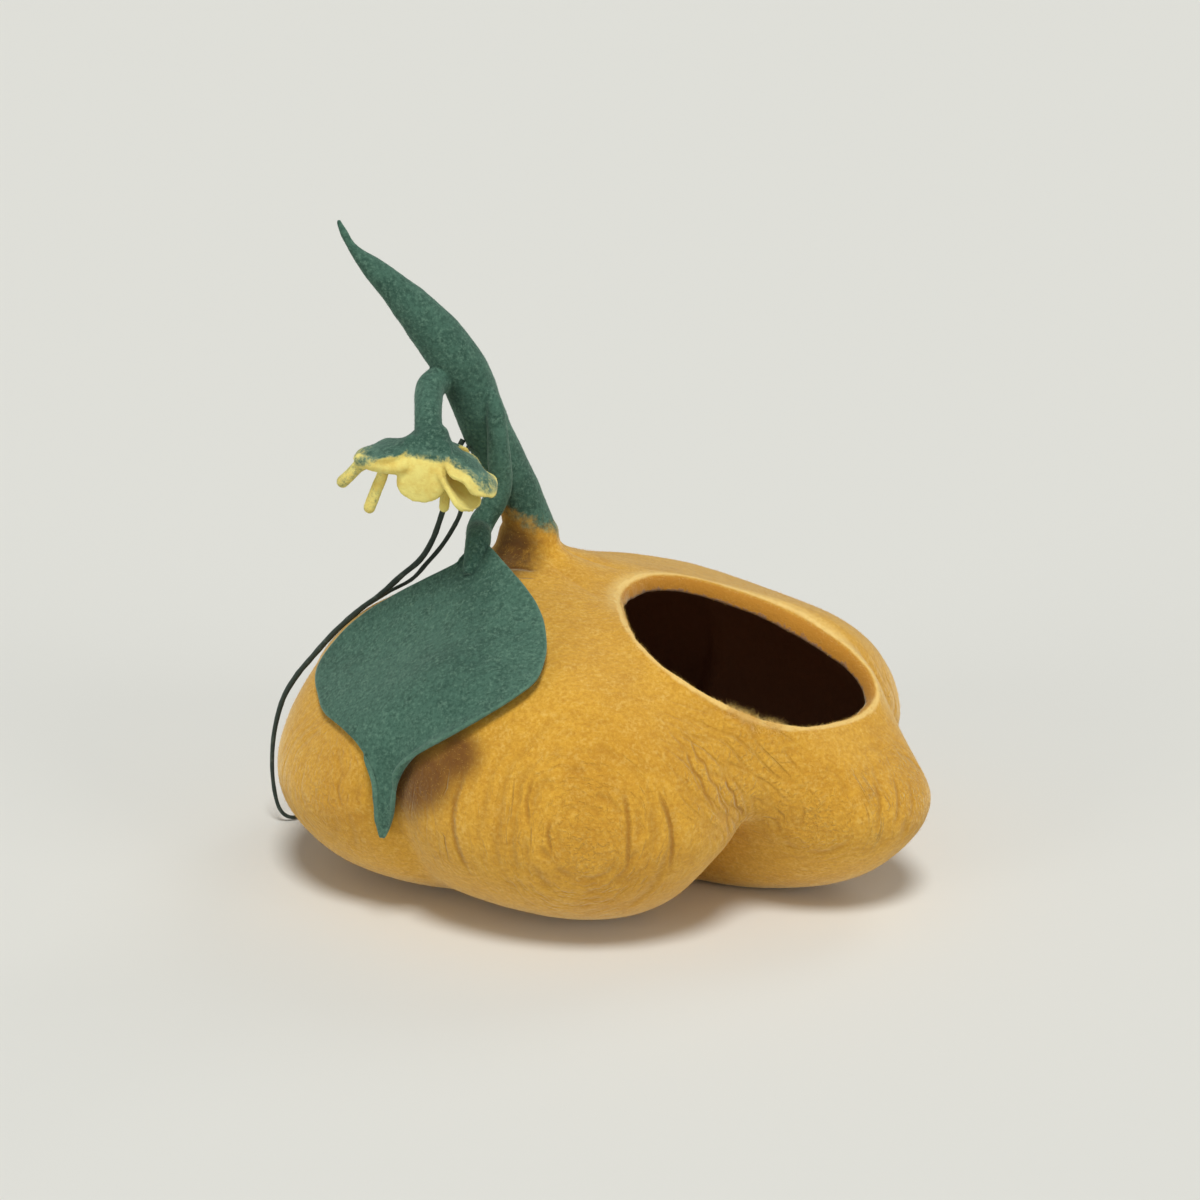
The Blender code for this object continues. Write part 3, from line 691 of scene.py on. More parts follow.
def turn_in(bm, rim, inward, down, turned):
    """One step of the felt's turned edge, as shares of the turn at each place; turned is the share at its end."""
    curl_layer = bm.verts.layers.float_vector["curl"]
    right, far, out = MOUTH_AXES
    grown = []
    for vert in rim:
        turn = mouth_polar(vert.co)[0]
        amount = smooth_round(column(MOUTH_RIM, "turn_in"), turn)
        angle = 2.0 * math.pi * turn
        drawn_in = amount * inward * (math.cos(angle) * right + math.sin(angle) * far) + amount * down * out
        grown.append(bm.verts.new(vert.co - drawn_in))
        grown[-1][curl_layer] = (turned, amount / FULL_TURN, 0.0)
    for k in range(len(rim)):
        bm.faces.new((rim[k - 1], rim[k], grown[k], grown[k - 1]))
    return grown


def fill_crease(bm, held):
    """Even out the felt in front of the mouth, where the crease between two lobes runs out."""
    _, far, _ = MOUTH_AXES
    near = []
    for vert in bm.verts:
        if vert not in held and by_the_mouth(vert.co):
            weight = 1.0 - fade(*FILLED, mouth_polar(vert.co)[1])
            weight *= 1.0 - fade(*FILLED_BESIDE, (vert.co - MOUTH_AT).dot(far))
            if weight > 0.0:
                near.append((vert, weight * FILL_SHARE))
    for _ in range(FILL_ROUNDS):
        for vert, weight in near:
            around = [edge.other_vert(vert).co for edge in vert.link_edges]
            vert.co = vert.co.lerp(sum(around, Vector()) / len(around), weight)


def open_mouth(bm):
    """Cut the mouth, lay its edge on the rim and turn the felt in."""
    bm.verts.layers.float_vector.new("curl")
    inside = []
    for face in bm.faces:
        centre = face.calc_center_median()
        if by_the_mouth(centre) and mouth_polar(centre)[1] < 1.0:
            inside.append(face)
    bmesh.ops.delete(bm, geom=inside, context="FACES")
    rim = loop_order([edge for edge in bm.edges if edge.is_boundary])
    for vert, spot in zip(rim, levelled([rim_point(turn) for turn in evened_turns(rim)])):
        vert.co = spot
    held = set(rim)
    near = [v for v in bm.verts if v not in held and by_the_mouth(v.co) and mouth_polar(v.co)[1] < RELAXED_OUT_TO]
    for _ in range(RELAX_ROUNDS):
        for vert in near:
            around = [edge.other_vert(vert).co for edge in vert.link_edges]
            vert.co = SKIN_TREE.find_nearest(vert.co.lerp(sum(around, Vector()) / len(around), RELAX_SHARE))[0]
    fill_crease(bm, held)
    for k, (inward, down) in enumerate(CURL):
        rim = turn_in(bm, rim, inward, down, (k + 1) / len(CURL))
    bmesh.ops.recalc_face_normals(bm, faces=bm.faces)


open_mouth(skin)
print("the mouth's edge has", len([edge for edge in skin.edges if edge.is_boundary]), "corners")

# %% [markdown]
# ## Where the felt wrinkles
#
# As wool shrinks in the wash, it wrinkles in arcs around the fullest place of each lobe, and in short folds side by
# side where two lobes meet. The shader could guess these places, but it is more exact to mark them: each corner of
# the skin stores how it lies to the nearest ring centre and to the nearest gathering point, and a strength that fades
# out. The folds that show most are single lines in a table, and a corner stores how far it is from the nearest one,
# with a sign for its side, so that a fold stays sharp between two corners.

# %% Mark the wrinkles on the skin
WHORLS = table(
    ("azimuth", "place", "radius", "strength"),
    (-3.0, 4.3, 0.115, 1.00),
    (44.0, 4.2, 0.060, 0.95),
    (64.0, 4.5, 0.075, 0.95),
    (-60.0, 4.4, 0.090, 0.60),
    (118.0, 4.3, 0.110, 0.85),
    (180.0, 4.3, 0.110, 0.85),
    (-124.0, 4.3, 0.110, 0.85),
)
GATHERS = table(
    ("azimuth", "place", "radius", "strength", "lean"),
    (29.0, 4.9, 0.080, 0.95, 34.0),
    (-38.0, 4.0, 0.050, 0.35, 0.0),
    (88.0, 4.2, 0.070, 0.75, 10.0),
    (150.0, 4.0, 0.070, 0.75, -12.0),
    (208.0, 4.0, 0.070, 0.75, 8.0),
    (-95.0, 4.0, 0.070, 0.75, -6.0),
)
FOLDS = table(
    ("mark", "width", "depth", "route"),
    (0, 0.0034, 0.85, ((4.4, 4.86), (5.3, 4.35), (5.0, 3.78))),
    (1, 0.0038, 1.00, ((11.2, 4.76), (13.3, 4.37), (13.6, 3.72))),
    (2, 0.0030, 0.40, ((8.6, 4.61), (9.5, 4.30), (8.9, 3.99))),
    (0, 0.0030, 0.80, ((-9.0, 4.50), (-9.6, 4.28), (-8.7, 4.06))),
    (1, 0.0032, 0.70, ((-13.0, 4.96), (-14.0, 4.69), (-13.0, 4.40))),
    (2, 0.0042, 0.80, ((-27.0, 4.95), (-28.6, 4.46), (-28.2, 4.05), (-26.6, 3.50))),
    (0, 0.0046, 0.75, ((19.0, 5.75), (22.0, 5.05), (26.2, 4.40), (28.6, 3.73))),
    (1, 0.0042, 0.85, ((18.6, 5.30), (20.6, 4.85), (23.4, 4.37))),
    (2, 0.0042, 0.90, ((26.6, 4.90), (29.6, 4.42), (32.8, 4.00))),
    (0, 0.0034, 0.65, ((55.8, 5.09), (54.0, 4.62), (52.6, 4.07))),
    (1, 0.0034, 0.60, ((60.4, 5.09), (57.6, 4.60), (55.6, 4.09))),
    (2, 0.0034, 0.50, ((63.1, 4.92), (60.9, 4.57), (58.6, 4.19))),
    (0, 0.0030, 0.60, ((38.2, 4.20), (39.6, 4.06), (40.6, 3.82))),
    (1, 0.0030, 0.60, ((41.9, 4.30), (42.6, 4.13), (42.4, 3.90))),
    (0, 0.0034, 0.50, ((-54.4, 4.74), (-54.8, 4.45), (-52.9, 4.12))),
    (1, 0.0034, 0.40, ((-50.2, 4.60), (-50.8, 4.39), (-49.5, 4.17))),
    (2, 0.0030, 1.00, ((-30.0, 8.60), (-11.0, 8.62), (6.0, 8.55))),
)
FOLD_STEPS = 10
FOLD_REACH = 0.014
FOLD_FADES = (0.6, 1.0)
FOLD_STARTS = (-0.05, 0.25)
FOLD_ENDS = (0.75, 1.05)
FAR_FROM_FOLD = (0.02, 0.0, 0.004)
FOLD_MARKS = ("fold_a", "fold_b", "fold_c")
MARK_FADES = (0.45, 1.0)
FAR_FROM_MOUTH = (0.0, 3.0)


def tangent_frame(place):
    """A mark's own frame on the skin: to the right, upwards and out."""
    spot = wall_point(place["azimuth"], place["place"])
    _, out, _, _ = SKIN_TREE.find_nearest(spot)
    right = Vector((0.0, 0.0, 1.0)).cross(out).normalized()
    right = Matrix.Rotation(math.radians(place.get("lean", 0.0)), 3, out) @ right
    return spot, right, out.cross(right).normalized()


def mark_nearest(point, centres):
    """How a point lies to the nearest centre: right, up and the strength there."""
    best = (0.0, 0.0, 0.0)
    for place, (spot, right, up) in centres:
        offset = point - spot
        strength = place["strength"] * (1.0 - fade(*MARK_FADES, offset.length / place["radius"]))
        if strength > best[2]:
            best = (offset.dot(right), offset.dot(up), strength)
    return best


def fold_lines():
    """Each fold as points on the skin, with the middle and the radius of the ball that holds it."""
    lines = []
    for row in FOLDS:
        last = len(row["route"]) - 1
        azimuths, places = ([spot[k] for spot in row["route"]] for k in (0, 1))
        steps = [last * k / FOLD_STEPS for k in range(FOLD_STEPS + 1)]
        line = [wall_point(smooth_at(azimuths, step), smooth_at(places, step)) for step in steps]
        lines.append((row, line, (line[0] + line[-1]) / 2.0, (line[0] - line[-1]).length * 0.6 + FOLD_REACH))
    return lines


def to_fold(point, normal, line):
    """How far a point is to one side of a fold, and how deep the fold still is there."""
    best = None
    for k, (start, end) in enumerate(zip(line, line[1:])):
        along = end - start
        share = min(max((point - start).dot(along) / along.length_squared, 0.0), 1.0)
        offset = point - start - along * share
        if best is None or offset.length < abs(best[0]):
            side = 1.0 if normal.cross(along).dot(offset) > 0.0 else -1.0
            best = (side * offset.length, (k + share) / FOLD_STEPS)
    distance, place = best
    return distance, fade(*FOLD_STARTS, place) * (1.0 - fade(*FOLD_ENDS, place))


def fold_marks(vert, lines):
    """How a corner lies to the nearest of some folds: distance, depth and width."""
    best = FAR_FROM_FOLD
    for row, line, middle, ball in lines:
        if (vert.co - middle).length < ball:
            distance, left = to_fold(vert.co, vert.normal, line)
            depth = row["depth"] * left * (1.0 - fade(*FOLD_FADES, abs(distance) / FOLD_REACH))
            if depth > best[1]:
                best = (distance, depth, row["width"])
    return best


def mark(bm):
    """Store the marks on every corner of the skin."""
    bm.normal_update()
    whorls = [(place, tangent_frame(place)) for place in WHORLS]
    gathers = [(place, tangent_frame(place)) for place in GATHERS]
    ring_layer = bm.verts.layers.float_vector.new("whorl")
    gather_layer = bm.verts.layers.float_vector.new("gather")
    rim_layer = bm.verts.layers.float.new("from_rim")
    lines = fold_lines()
    fold_layers = [(bm.verts.layers.float_vector.new(name), [line for line in lines if line[0]["mark"] == k])
                   for k, name in enumerate(FOLD_MARKS)]
    for vert in bm.verts:
        for layer, some in fold_layers:
            vert[layer] = fold_marks(vert, some)
        vert[ring_layer] = mark_nearest(vert.co, whorls)
        vert[gather_layer] = mark_nearest(vert.co, gathers)
        turn, share = mouth_polar(vert.co) if by_the_mouth(vert.co) else FAR_FROM_MOUTH
        vert[rim_layer] = (share - 1.0) * smooth_round(column(MOUTH_RIM, "reach"), turn)


mark(skin)
print(len(WHORLS), "ring centres,", len(GATHERS), "gathering points and", len(FOLDS), "folds are marked")

# %% [markdown]
# ## Mustard wool
#
# The same nap covers the whole gourd. In the wrinkles the colour is darkened as painted shade, so one function works
# out how deep the ring and gather folds are, and both the relief and the painted shade use it. Near the mouth a painted
# highlight runs pale along the rim's ridge, the turned-in band at the far side is painted darker as shade, and inside
# the wool was dyed dark brown. Below the leaf's lower edge a brown shadow is painted, and at the foot of the neck the
# brown is partly dye and partly painted shade. At the top the mustard runs over into the green of the stem.

# %% Wrinkles from the marks
RING_LINES = 88.0
FINE_LINES = 300.0
FOLDS_ACROSS = 95.0
FOLDS_ALONG = 24.0
CRINKLES = 170.0


def grooves(cloud, width):
    """Narrow grooves where a cloudy noise passes its middle: 1 in the groove and 0 beside it."""
    return 1.0 - abs(cloud - 0.5).fade(0.0, width)


def round_centre(loom, whorl):
    """A ring mark's distance from its centre, its way round it and its strength."""
    right, up, strength = whorl.parts()
    flat = loom.joined(right, up * 0.8, 0.0)
    reach = loom.vector("LENGTH", flat, out=1)
    way_right, way_up, _ = loom.vector("NORMALIZE", flat).parts()
    return reach, way_right, way_up, strength


def ring_folds(loom, whorl, warp):
    """Arcs round a ring centre: 0 is a flat place, 1 the bottom of a groove."""
    reach, way_right, way_up, strength = round_centre(loom, whorl)
    lines = (reach + warp) * RING_LINES
    ring = lines.sum("FLOOR")
    arcs = loom.noise(loom.joined(way_right * 1.7, way_up * 1.7, ring * 3.7), 1.0, 0.0)
    arcs = (arcs + abs(way_right) * 0.10).fade(0.48, 0.66) * (1.0 - abs(lines - ring - 0.5).fade(0.0, 0.38))
    return arcs * reach.fade(0.010, 0.022) * strength


def fine_folds(felt, whorl, gather, warp):
    """Fine lines round the ring centres, and crackled wool in their middles and where lobes meet."""
    reach, way_right, way_up, ringed = round_centre(felt, whorl)
    polar = felt.joined(way_right * 3.2, way_up * 3.2, (reach + warp) * FINE_LINES)
    fine = felt.noise(polar, 1.0, 2.0, 0.6).fade(0.46, 0.66) * ringed
    _, _, gathered = gather.parts()
    crackle = grooves(felt.noise(felt.place, CRINKLES, 1.5, 0.5), 0.17)
    zone = ((1.0 - reach.fade(0.016, 0.044)) * ringed).sum("MAXIMUM", gathered)
    return (fine * 0.55).sum("MAXIMUM", crackle * zone * 0.5)


def gather_folds(loom, gather, warp):
    """Short folds side by side where two lobes meet."""
    across, along, strength = gather.parts()
    cloud = loom.noise(loom.joined(across * FOLDS_ACROSS + warp * 40.0, along * FOLDS_ALONG, 0.0), 1.0, 0.0)
    return grooves(cloud, 0.12) * strength


def line_folds(marks, warp, spread=1.0):
    """The single folds of the table; spread makes them wider."""
    deep = None
    for vector in marks:
        offset, strength, width = vector.parts()
        groove = (1.0 - (abs(offset + warp * 0.10) / (width * spread)).fade(0.0, 1.0)) * strength
        deep = groove if deep is None else deep.sum("MAXIMUM", groove)
    return deep


print("rings about", round(1000.0 / RING_LINES, 1), "mm apart")

# %% Mustard felt
DYE_LINE = {"x": -0.057, "z": 0.2690, "slope": 0.75, "blur": 0.009}
NECK_WIDE = (0.028, 0.034)
STAIN_AND_SHADE_AT = (-0.0690, 0.0060, 0.2440)
LIT_CORNER_AT = (0.203, -0.035, 0.155)
UNDER_LEAF = (
    ((-0.142, -0.165, 0.116), 0.036),
    ((-0.122, -0.174, 0.128), 0.036),
    ((-0.100, -0.178, 0.146), 0.028),
)


def mustard_colour(felt, clumps, locks, fibres):
    """Mustard wool with paler and deeper clumps."""
    x, y, z = felt.place.parts()
    streaks = felt.noise(felt.joined(x * 70.0, y * 70.0, z * 260.0), 1.0, 2.0, 0.6)
    colour = felt.mixed(MUSTARD, MUSTARD_DEEP, (clumps * 0.6 + locks * 0.4).fade(0.44, 0.66) * 0.40)
    colour = felt.mixed(colour, MUSTARD_DEEP, streaks.fade(0.48, 0.66) * 0.28)
    colour = felt.mixed(colour, MUSTARD_DEEP, 0.46 - (fibres * 0.7 + locks * 0.3).fade(0.38, 0.54) * 0.46)
    return felt.mixed(colour, MUSTARD_PALE, (fibres * 0.6 + locks * 0.4).fade(0.50, 0.64) * 0.52)


def green_colour(felt, clumps, locks, fibres):
    """Teal green wool with pale and dark fibres mixed through it."""
    colour = felt.mixed(GREEN, GREEN_DEEP, (clumps * 0.5 + locks * 0.5).fade(0.44, 0.62) * 0.62)
    colour = felt.mixed(colour, GREEN_DEEP, 0.5 - fibres.fade(0.34, 0.52) * 0.5)
    return felt.mixed(colour, GREEN_PALE, (fibres * 0.65 + locks * 0.35).fade(0.49, 0.64) * 0.55)


def dye_edge(felt, clumps, locks):
    """0 in the mustard and 1 in the green of the neck, and how far a point is off the neck."""
    x, y, z = felt.place.parts()
    line = z - DYE_LINE["z"] + (x - DYE_LINE["x"]) * DYE_LINE["slope"]
    ragged = (clumps - 0.5) * 0.03 + (locks - 0.5) * 0.03
    beside = felt.vector("DISTANCE", felt.joined(x, y, 0.0), tuple(NECK_AT), out=1).fade(*NECK_WIDE)
    return (line + ragged).fade(-DYE_LINE["blur"], DYE_LINE["blur"]), beside


def stained_and_shaded(felt, colour, clumps, locks):
    """The brown that the dye left at the front of the neck's foot, deepened by painted shade where the neck meets the
    gourd.
    """
    stain_and_shade = felt.near(STAIN_AND_SHADE_AT, 0.010, 0.036) * (clumps * 0.6 + locks * 0.4).fade(0.24, 0.48)
    return felt.mixed(colour, STAIN_AND_SHADE_BROWN, stain_and_shade * 0.92)


def outside_finish():
    """The gourd's outside."""
    felt = Felt("mustard wool", 0.60, (1.0, 0.88, 0.58, 1.0))
    clumps, locks, fibres = felt.nap()
    warp = (clumps - 0.5) * 0.024
    whorl, gather = felt.attribute("whorl", 1), felt.attribute("gather", 1)
    folds = ring_folds(felt, whorl, warp).sum("MAXIMUM", gather_folds(felt, gather, warp))
    folds = folds.sum("MAXIMUM", fine_folds(felt, whorl, gather, warp))
    lines = line_folds([felt.attribute(name, 1) for name in FOLD_MARKS], warp + (locks - 0.5) * 0.03)
    colour = mustard_colour(felt, clumps, locks, fibres)
    ringed, gathered = whorl.parts()[2], gather.parts()[2]
    matted = ringed.sum("MAXIMUM", gathered) * (clumps * 0.5 + locks * 0.5).fade(0.38, 0.62)
    colour = felt.mixed(colour, MUSTARD_DEEP, matted * 0.26)
    # Painted shade: the grooves of the folds are darkened towards brown.
    colour = felt.mixed(colour, FOLD_SHADE_BROWN, (folds * 0.32).sum("MAXIMUM", lines * 0.8))
    folds = (folds * 0.85).sum("MAXIMUM", lines)
    # Painted shadow: brown on the gourd below the leaf's lower edge.
    for spot, reach in UNDER_LEAF:
        shade = felt.near(spot, 0.008, reach) * (0.75 + 0.4 * locks)
        colour = felt.mixed(colour, SHADE_BROWN, shade)
    turned, amount, _ = felt.attribute("curl", 1).parts()
    y = felt.place.parts()[1]
    far = amount.fade(0.30, 0.60)
    # Painted shade: the turned-in band at the far side of the mouth is darker orange.
    colour = felt.mixed(colour, MUSTARD_BAND_SHADE, turned.fade(0.05, 0.40) * far * 0.9)
    edge = felt.attribute("from_rim")
    # Painted highlight: a pale line along the rim's ridge, and a broad pale lip at the far side.
    ridge = 1.0 - abs(edge + (locks - 0.5) * 0.003).fade(0.0006, 0.0032)
    colour = felt.mixed(colour, MUSTARD_EDGE_AND_HIGHLIGHT, ridge * 0.75)
    broad = (1.0 - abs(edge + (locks - 0.5) * 0.012).fade(0.002, 0.014)) * (y - MOUTH_AT.y).fade(-0.02, 0.03)
    colour = felt.mixed(colour, MUSTARD_EDGE_AND_HIGHLIGHT, broad * (1.0 - turned.fade(0.0, 0.2)) * 0.5)
    ragged = turned + (locks - 0.5) * 0.5 + (fibres - 0.5) * 0.5
    colour = felt.mixed(colour, INSIDE_BROWN, ragged.fade(0.86, 0.98) * far)
    # The neck's foot: brown dye, deepened by painted shade.
    colour = stained_and_shaded(felt, colour, clumps, locks)
    edge_of_dye, beside = dye_edge(felt, clumps, locks)
    colour = felt.mixed(colour, green_colour(felt, clumps, locks, fibres), edge_of_dye * (1.0 - beside))
    height = locks * 0.42 + fibres * 0.22 - folds * 0.55
    return felt.wear(colour, height, 0.0024)


def inside_finish():
    """Dark brown wool inside the cave, with painted light in orange near the mouth's right-hand corner."""
    felt = Felt("brown wool", 0.12, (0.6, 0.45, 0.35, 1.0))
    clumps, locks, fibres = felt.nap()
    colour = felt.mixed(INSIDE_BROWN, INSIDE_LIGHT, (clumps * 0.5 + locks * 0.5).fade(0.48, 0.7) * 0.25)
    # Painted light: brighter orange near the mouth's right-hand corner.
    corner = felt.near(LIT_CORNER_AT, 0.016, 0.046) + (locks - 0.5) * 0.5 + (clumps - 0.5) * 0.4
    colour = felt.mixed(colour, INSIDE_LIT_ORANGE, corner.fade(0.35, 0.75) * 0.8)
    return felt.wear(colour, locks * 0.5 + fibres * 0.2, 0.0014)


def cut_finish():
    """The cut through the wall: pale mustard in front, brown and ragged at the far side."""
    felt = Felt("cut edge wool", 0.35, (1.0, 0.92, 0.7, 1.0))
    _, locks, fibres = felt.nap()
    colour = felt.mixed(MUSTARD_EDGE_AND_HIGHLIGHT, MUSTARD, (locks * 0.7 + fibres * 0.3).fade(0.42, 0.62) * 0.6)
    _, amount, _ = felt.attribute("curl", 1).parts()
    far = (amount + (locks - 0.5) * 0.5).fade(0.30, 0.50)
    colour = felt.mixed(colour, INSIDE_BROWN, far)
    return felt.wear(colour, locks * 0.6 + fibres * 0.2, 0.0014)


outside_wool, inside_wool, cut_wool = outside_finish(), inside_finish(), cut_finish()
print("the mustard wool has", len(outside_wool.node_tree.nodes), "nodes")

# %% [markdown]
# ## The gourd in relief
#
# Bump alone leaves an outline as smooth as glass, and real felt is dented and lumpy to the eye. The skin is
# subdivided once and pushed along its normals by the same folds that the colour uses, with soft lumps below them.
# Only then does it get its wall, so that the inside follows the outside.

# %% Dent the skin
CUT_THINNED = 0.72
FADED_AT_FLOOR = (0.0, 0.01)
FADED_AT_RIM = (0.0, 0.012)


def hand_relief():
    """Soft lumps, rings and gathers on a marked skin."""
    relief = Treatment("hand relief", {"Lumps": 0.0022, "Folds": 0.0012, "Lump scale": 16.0})
    spot = relief.node("GeometryNodeInputPosition")
    clumps = relief.noise(spot, relief.read("Lump scale"), 2.0)
    warp = (clumps - 0.5) * 0.03
    folds = ring_folds(relief, relief.attribute("whorl", "FLOAT_VECTOR"), warp).sum(
        "MAXIMUM", gather_folds(relief, relief.attribute("gather", "FLOAT_VECTOR"), warp))
    lines = [relief.attribute(name, "FLOAT_VECTOR") for name in FOLD_MARKS]
    folds = (folds * 0.8).sum("MAXIMUM", line_folds(lines, warp, 1.5) * 0.8)
    lift = (clumps - 0.5) * relief.read("Lumps") - folds * relief.read("Folds")
    off_floor = spot.parts()[2].fade(*FADED_AT_FLOOR)
    off_rim = relief.attribute("from_rim").fade(*FADED_AT_RIM)
    push = relief.scaled(relief.node("GeometryNodeInputNormal"), lift * off_floor * off_rim)
    finer = relief.node("GeometryNodeSubdivisionSurface", {}, {0: relief.read("Geometry"), 1: 1})
    moved = relief.node("GeometryNodeSetPosition", {}, {"Geometry": finer, "Offset": push})
    relief.close(relief.node("GeometryNodeSetShadeSmooth", {}, {0: moved}))
    return relief


def thin_the_cut(thing):
    """Let the wall grow thin towards its cut at the near side, where the edge is hardly turned in."""
    group = thing.vertex_groups.new(name="wall")
    for k, slot in enumerate(thing.data.attributes["curl"].data):
        turned, amount, _ = slot.vector
        near = 1.0 - fade(0.3, 0.7, amount)
        group.add([k], 1.0 - CUT_THINNED * min(1.0, 1.5 * turned) * near, "REPLACE")


def make_gourd():
    """Skin, relief and a wall of even thickness."""
    mesh = bpy.data.meshes.new("gourd_skin")
    skin.to_mesh(mesh)
    blank = new_piece("gourd_skin", mesh)
    outer = new_piece("gourd_outer", hand_relief().apply(blank, outside_wool, "gourd_outer"))
    bpy.data.objects.remove(blank, do_unlink=True)
    thin_the_cut(outer)
    outer.data.materials.append(inside_wool)
    outer.data.materials.append(cut_wool)
    wall = outer.modifiers.new("wall", "SOLIDIFY")
    wall.thickness = WALL
    wall.vertex_group = "wall"
    wall.offset = -1.0
    wall.material_offset = 1
    wall.material_offset_rim = 2
    gourd = new_piece("gourd", plain_mesh(outer, "gourd"))
    outer.modifiers.clear()
    return gourd, outer


gourd, gourd_outer = make_gourd()
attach(gourd, "root")
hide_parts("cave_shell")
print("the gourd has", triangles(gourd), "triangles")

# %% [markdown]
# ## The stem and what hangs from it
#
# Stem, flower stalk, calyx and petals are felted together, without seams. Separate tubes and sheets would show a
# hard line where they meet. So they are first made one by one in their right places, then remeshed together in cubes
# of about a millimetre and smoothed, which melts the joins as wet felting does. Fine relief comes after that.

# %% Stem and stalks
STEM = table(
    ("at", "radius"),
    ((-0.0560, 0.030, 0.2480), 0.0196),
    ((-0.0560, 0.030, 0.2583), 0.0204),
    ((-0.0600, 0.028, 0.2740), 0.0184),
    ((-0.0650, 0.025, 0.2910), 0.0175),
    ((-0.0745, 0.021, 0.3110), 0.0180),
    ((-0.0845, 0.018, 0.3330), 0.0188),
    ((-0.0935, 0.015, 0.3570), 0.0196),
    ((-0.1010, 0.012, 0.3790), 0.0196),
    ((-0.1095, 0.009, 0.3960), 0.0194),
    ((-0.1200, 0.007, 0.4115), 0.0188),
    ((-0.1320, 0.005, 0.4265), 0.0170),
    ((-0.1440, 0.004, 0.4410), 0.0145),
    ((-0.1565, 0.003, 0.4550), 0.0115),
    ((-0.1700, 0.002, 0.4680), 0.0085),
    ((-0.1800, 0.001, 0.4780), 0.0052),
    ((-0.1868, 0.000, 0.4868), 0.0032),
    ((-0.1915, 0.000, 0.4960), 0.0028),
    ((-0.1954, 0.000, 0.5052), 0.0018),
)
LEAF_STALK = table(
    ("z", "azimuth", "clear", "radius"),
    (0.372, 52.0, -0.0035, 0.0040),
    (0.354, 36.0, -0.0030, 0.0072),
    (0.330, 12.0, -0.0025, 0.0088),
    (0.305, -20.0, -0.0005, 0.0092),
    (0.284, -45.0, 0.0180, 0.0098),
)
STALK_ON_BLADE = table(
    ("at", "radius"),
    ((-0.0930, -0.0285, 0.2655), 0.0098),
    ((-0.0958, -0.0400, 0.2545), 0.0080),
    ((-0.0995, -0.0500, 0.2435), 0.0045),
)
FLOWER_STALK = table(
    ("at", "radius"),
    ((-0.1180, 0.0060, 0.3850), 0.0112),
    ((-0.1270, -0.0080, 0.3810), 0.0108),
    ((-0.1290, -0.0160, 0.3765), 0.0106),
    ((-0.1290, -0.0280, 0.3700), 0.0104),
    ((-0.1286, -0.0375, 0.3620), 0.0104),
    ((-0.1283, -0.0435, 0.3550), 0.0108),
)
FLOWER_AT = Vector((-0.1280, -0.0460, 0.3410))
FLOWER_TILT = math.radians(9.0)
FLOWER_FRAME = Matrix.Translation(FLOWER_AT) @ Matrix.Rotation(FLOWER_TILT, 4, "Y")
TUBE_STEPS = 8
STEM_SIDES = 40
LEAF_STALK_SIDES = 28
FINGER_SIDES = 16
STALK_STEPS = 6
BELL = table(
    ("radius", "up"),
    (0.0128, 0.0118),
    (0.0160, 0.0082),
    (0.0198, 0.0048),
    (0.0238, 0.0022),
    (0.0225, -0.0016),
)


def tube(bm, points, radii, sides, start=None):
    """Add a closed round tube along a path; start is the way that its first end faces in."""
    rings = []
    side = Vector((0.0, 1.0, 0.0))
    for k, point in enumerate(points):
        along = (points[min(k + 1, len(points) - 1)] - points[max(k - 1, 0)]).normalized()
        if start is not None and k == 0:
            along = start
        side = (side - along * side.dot(along)).normalized()
        across = along.cross(side)
        turns = [2.0 * math.pi * n / sides for n in range(sides)]
        rings.append([bm.verts.new(point + radii[k] * (math.cos(t) * side + math.sin(t) * across)) for t in turns])
    for low, high in zip(rings, rings[1:]):
        for n in range(sides):
            bm.faces.new((low[n], low[(n + 1) % sides], high[(n + 1) % sides], high[n]))
    bm.faces.new(list(reversed(rings[0])))
    bm.faces.new(rings[-1])


def smooth_route(rows, steps):
    """Places and radii of a table, with steps between its rows filled in."""
    centres = [Vector(at) for at in column(rows, "at")]
    places = [k / steps for k in range((len(rows) - 1) * steps + 1)]
    return ([smooth_at(centres, place) for place in places],
            [smooth_at(column(rows, "radius"), place) for place in places])


def smooth_tube(bm, rows, steps, sides, start=None):
    """A tube through a table of places and radii."""
    tube(bm, *smooth_route(rows, steps), sides, start)


STEM_ROUTE = list(zip(*smooth_route(STEM, 50)))


def stem_at(height):
    """The stem's centre and radius at a height."""
    return min(STEM_ROUTE, key=lambda spot: abs(spot[0].z - height))


def beside_stem(height, azimuth, clearance):
    """A place off the stem's surface, square to the stem's centre line."""
    centre, radius = stem_at(height)
    along = (stem_at(height + 0.004)[0] - stem_at(height - 0.004)[0]).normalized()
    out = outward(azimuth)
    out = (out - along * out.dot(along)).normalized()
    return centre + out * (radius + clearance)


green_parts = bmesh.new()
smooth_tube(green_parts, STEM, TUBE_STEPS, STEM_SIDES, Vector((0.0, 0.0, 1.0)))
stalk_rows = [{"at": beside_stem(row["z"], row["azimuth"], row["radius"] + row["clear"]), "radius": row["radius"]}
              for row in LEAF_STALK]
smooth_tube(green_parts, stalk_rows + STALK_ON_BLADE, TUBE_STEPS, LEAF_STALK_SIDES)
print("stem and leaf stalk:", len(green_parts.faces), "faces")

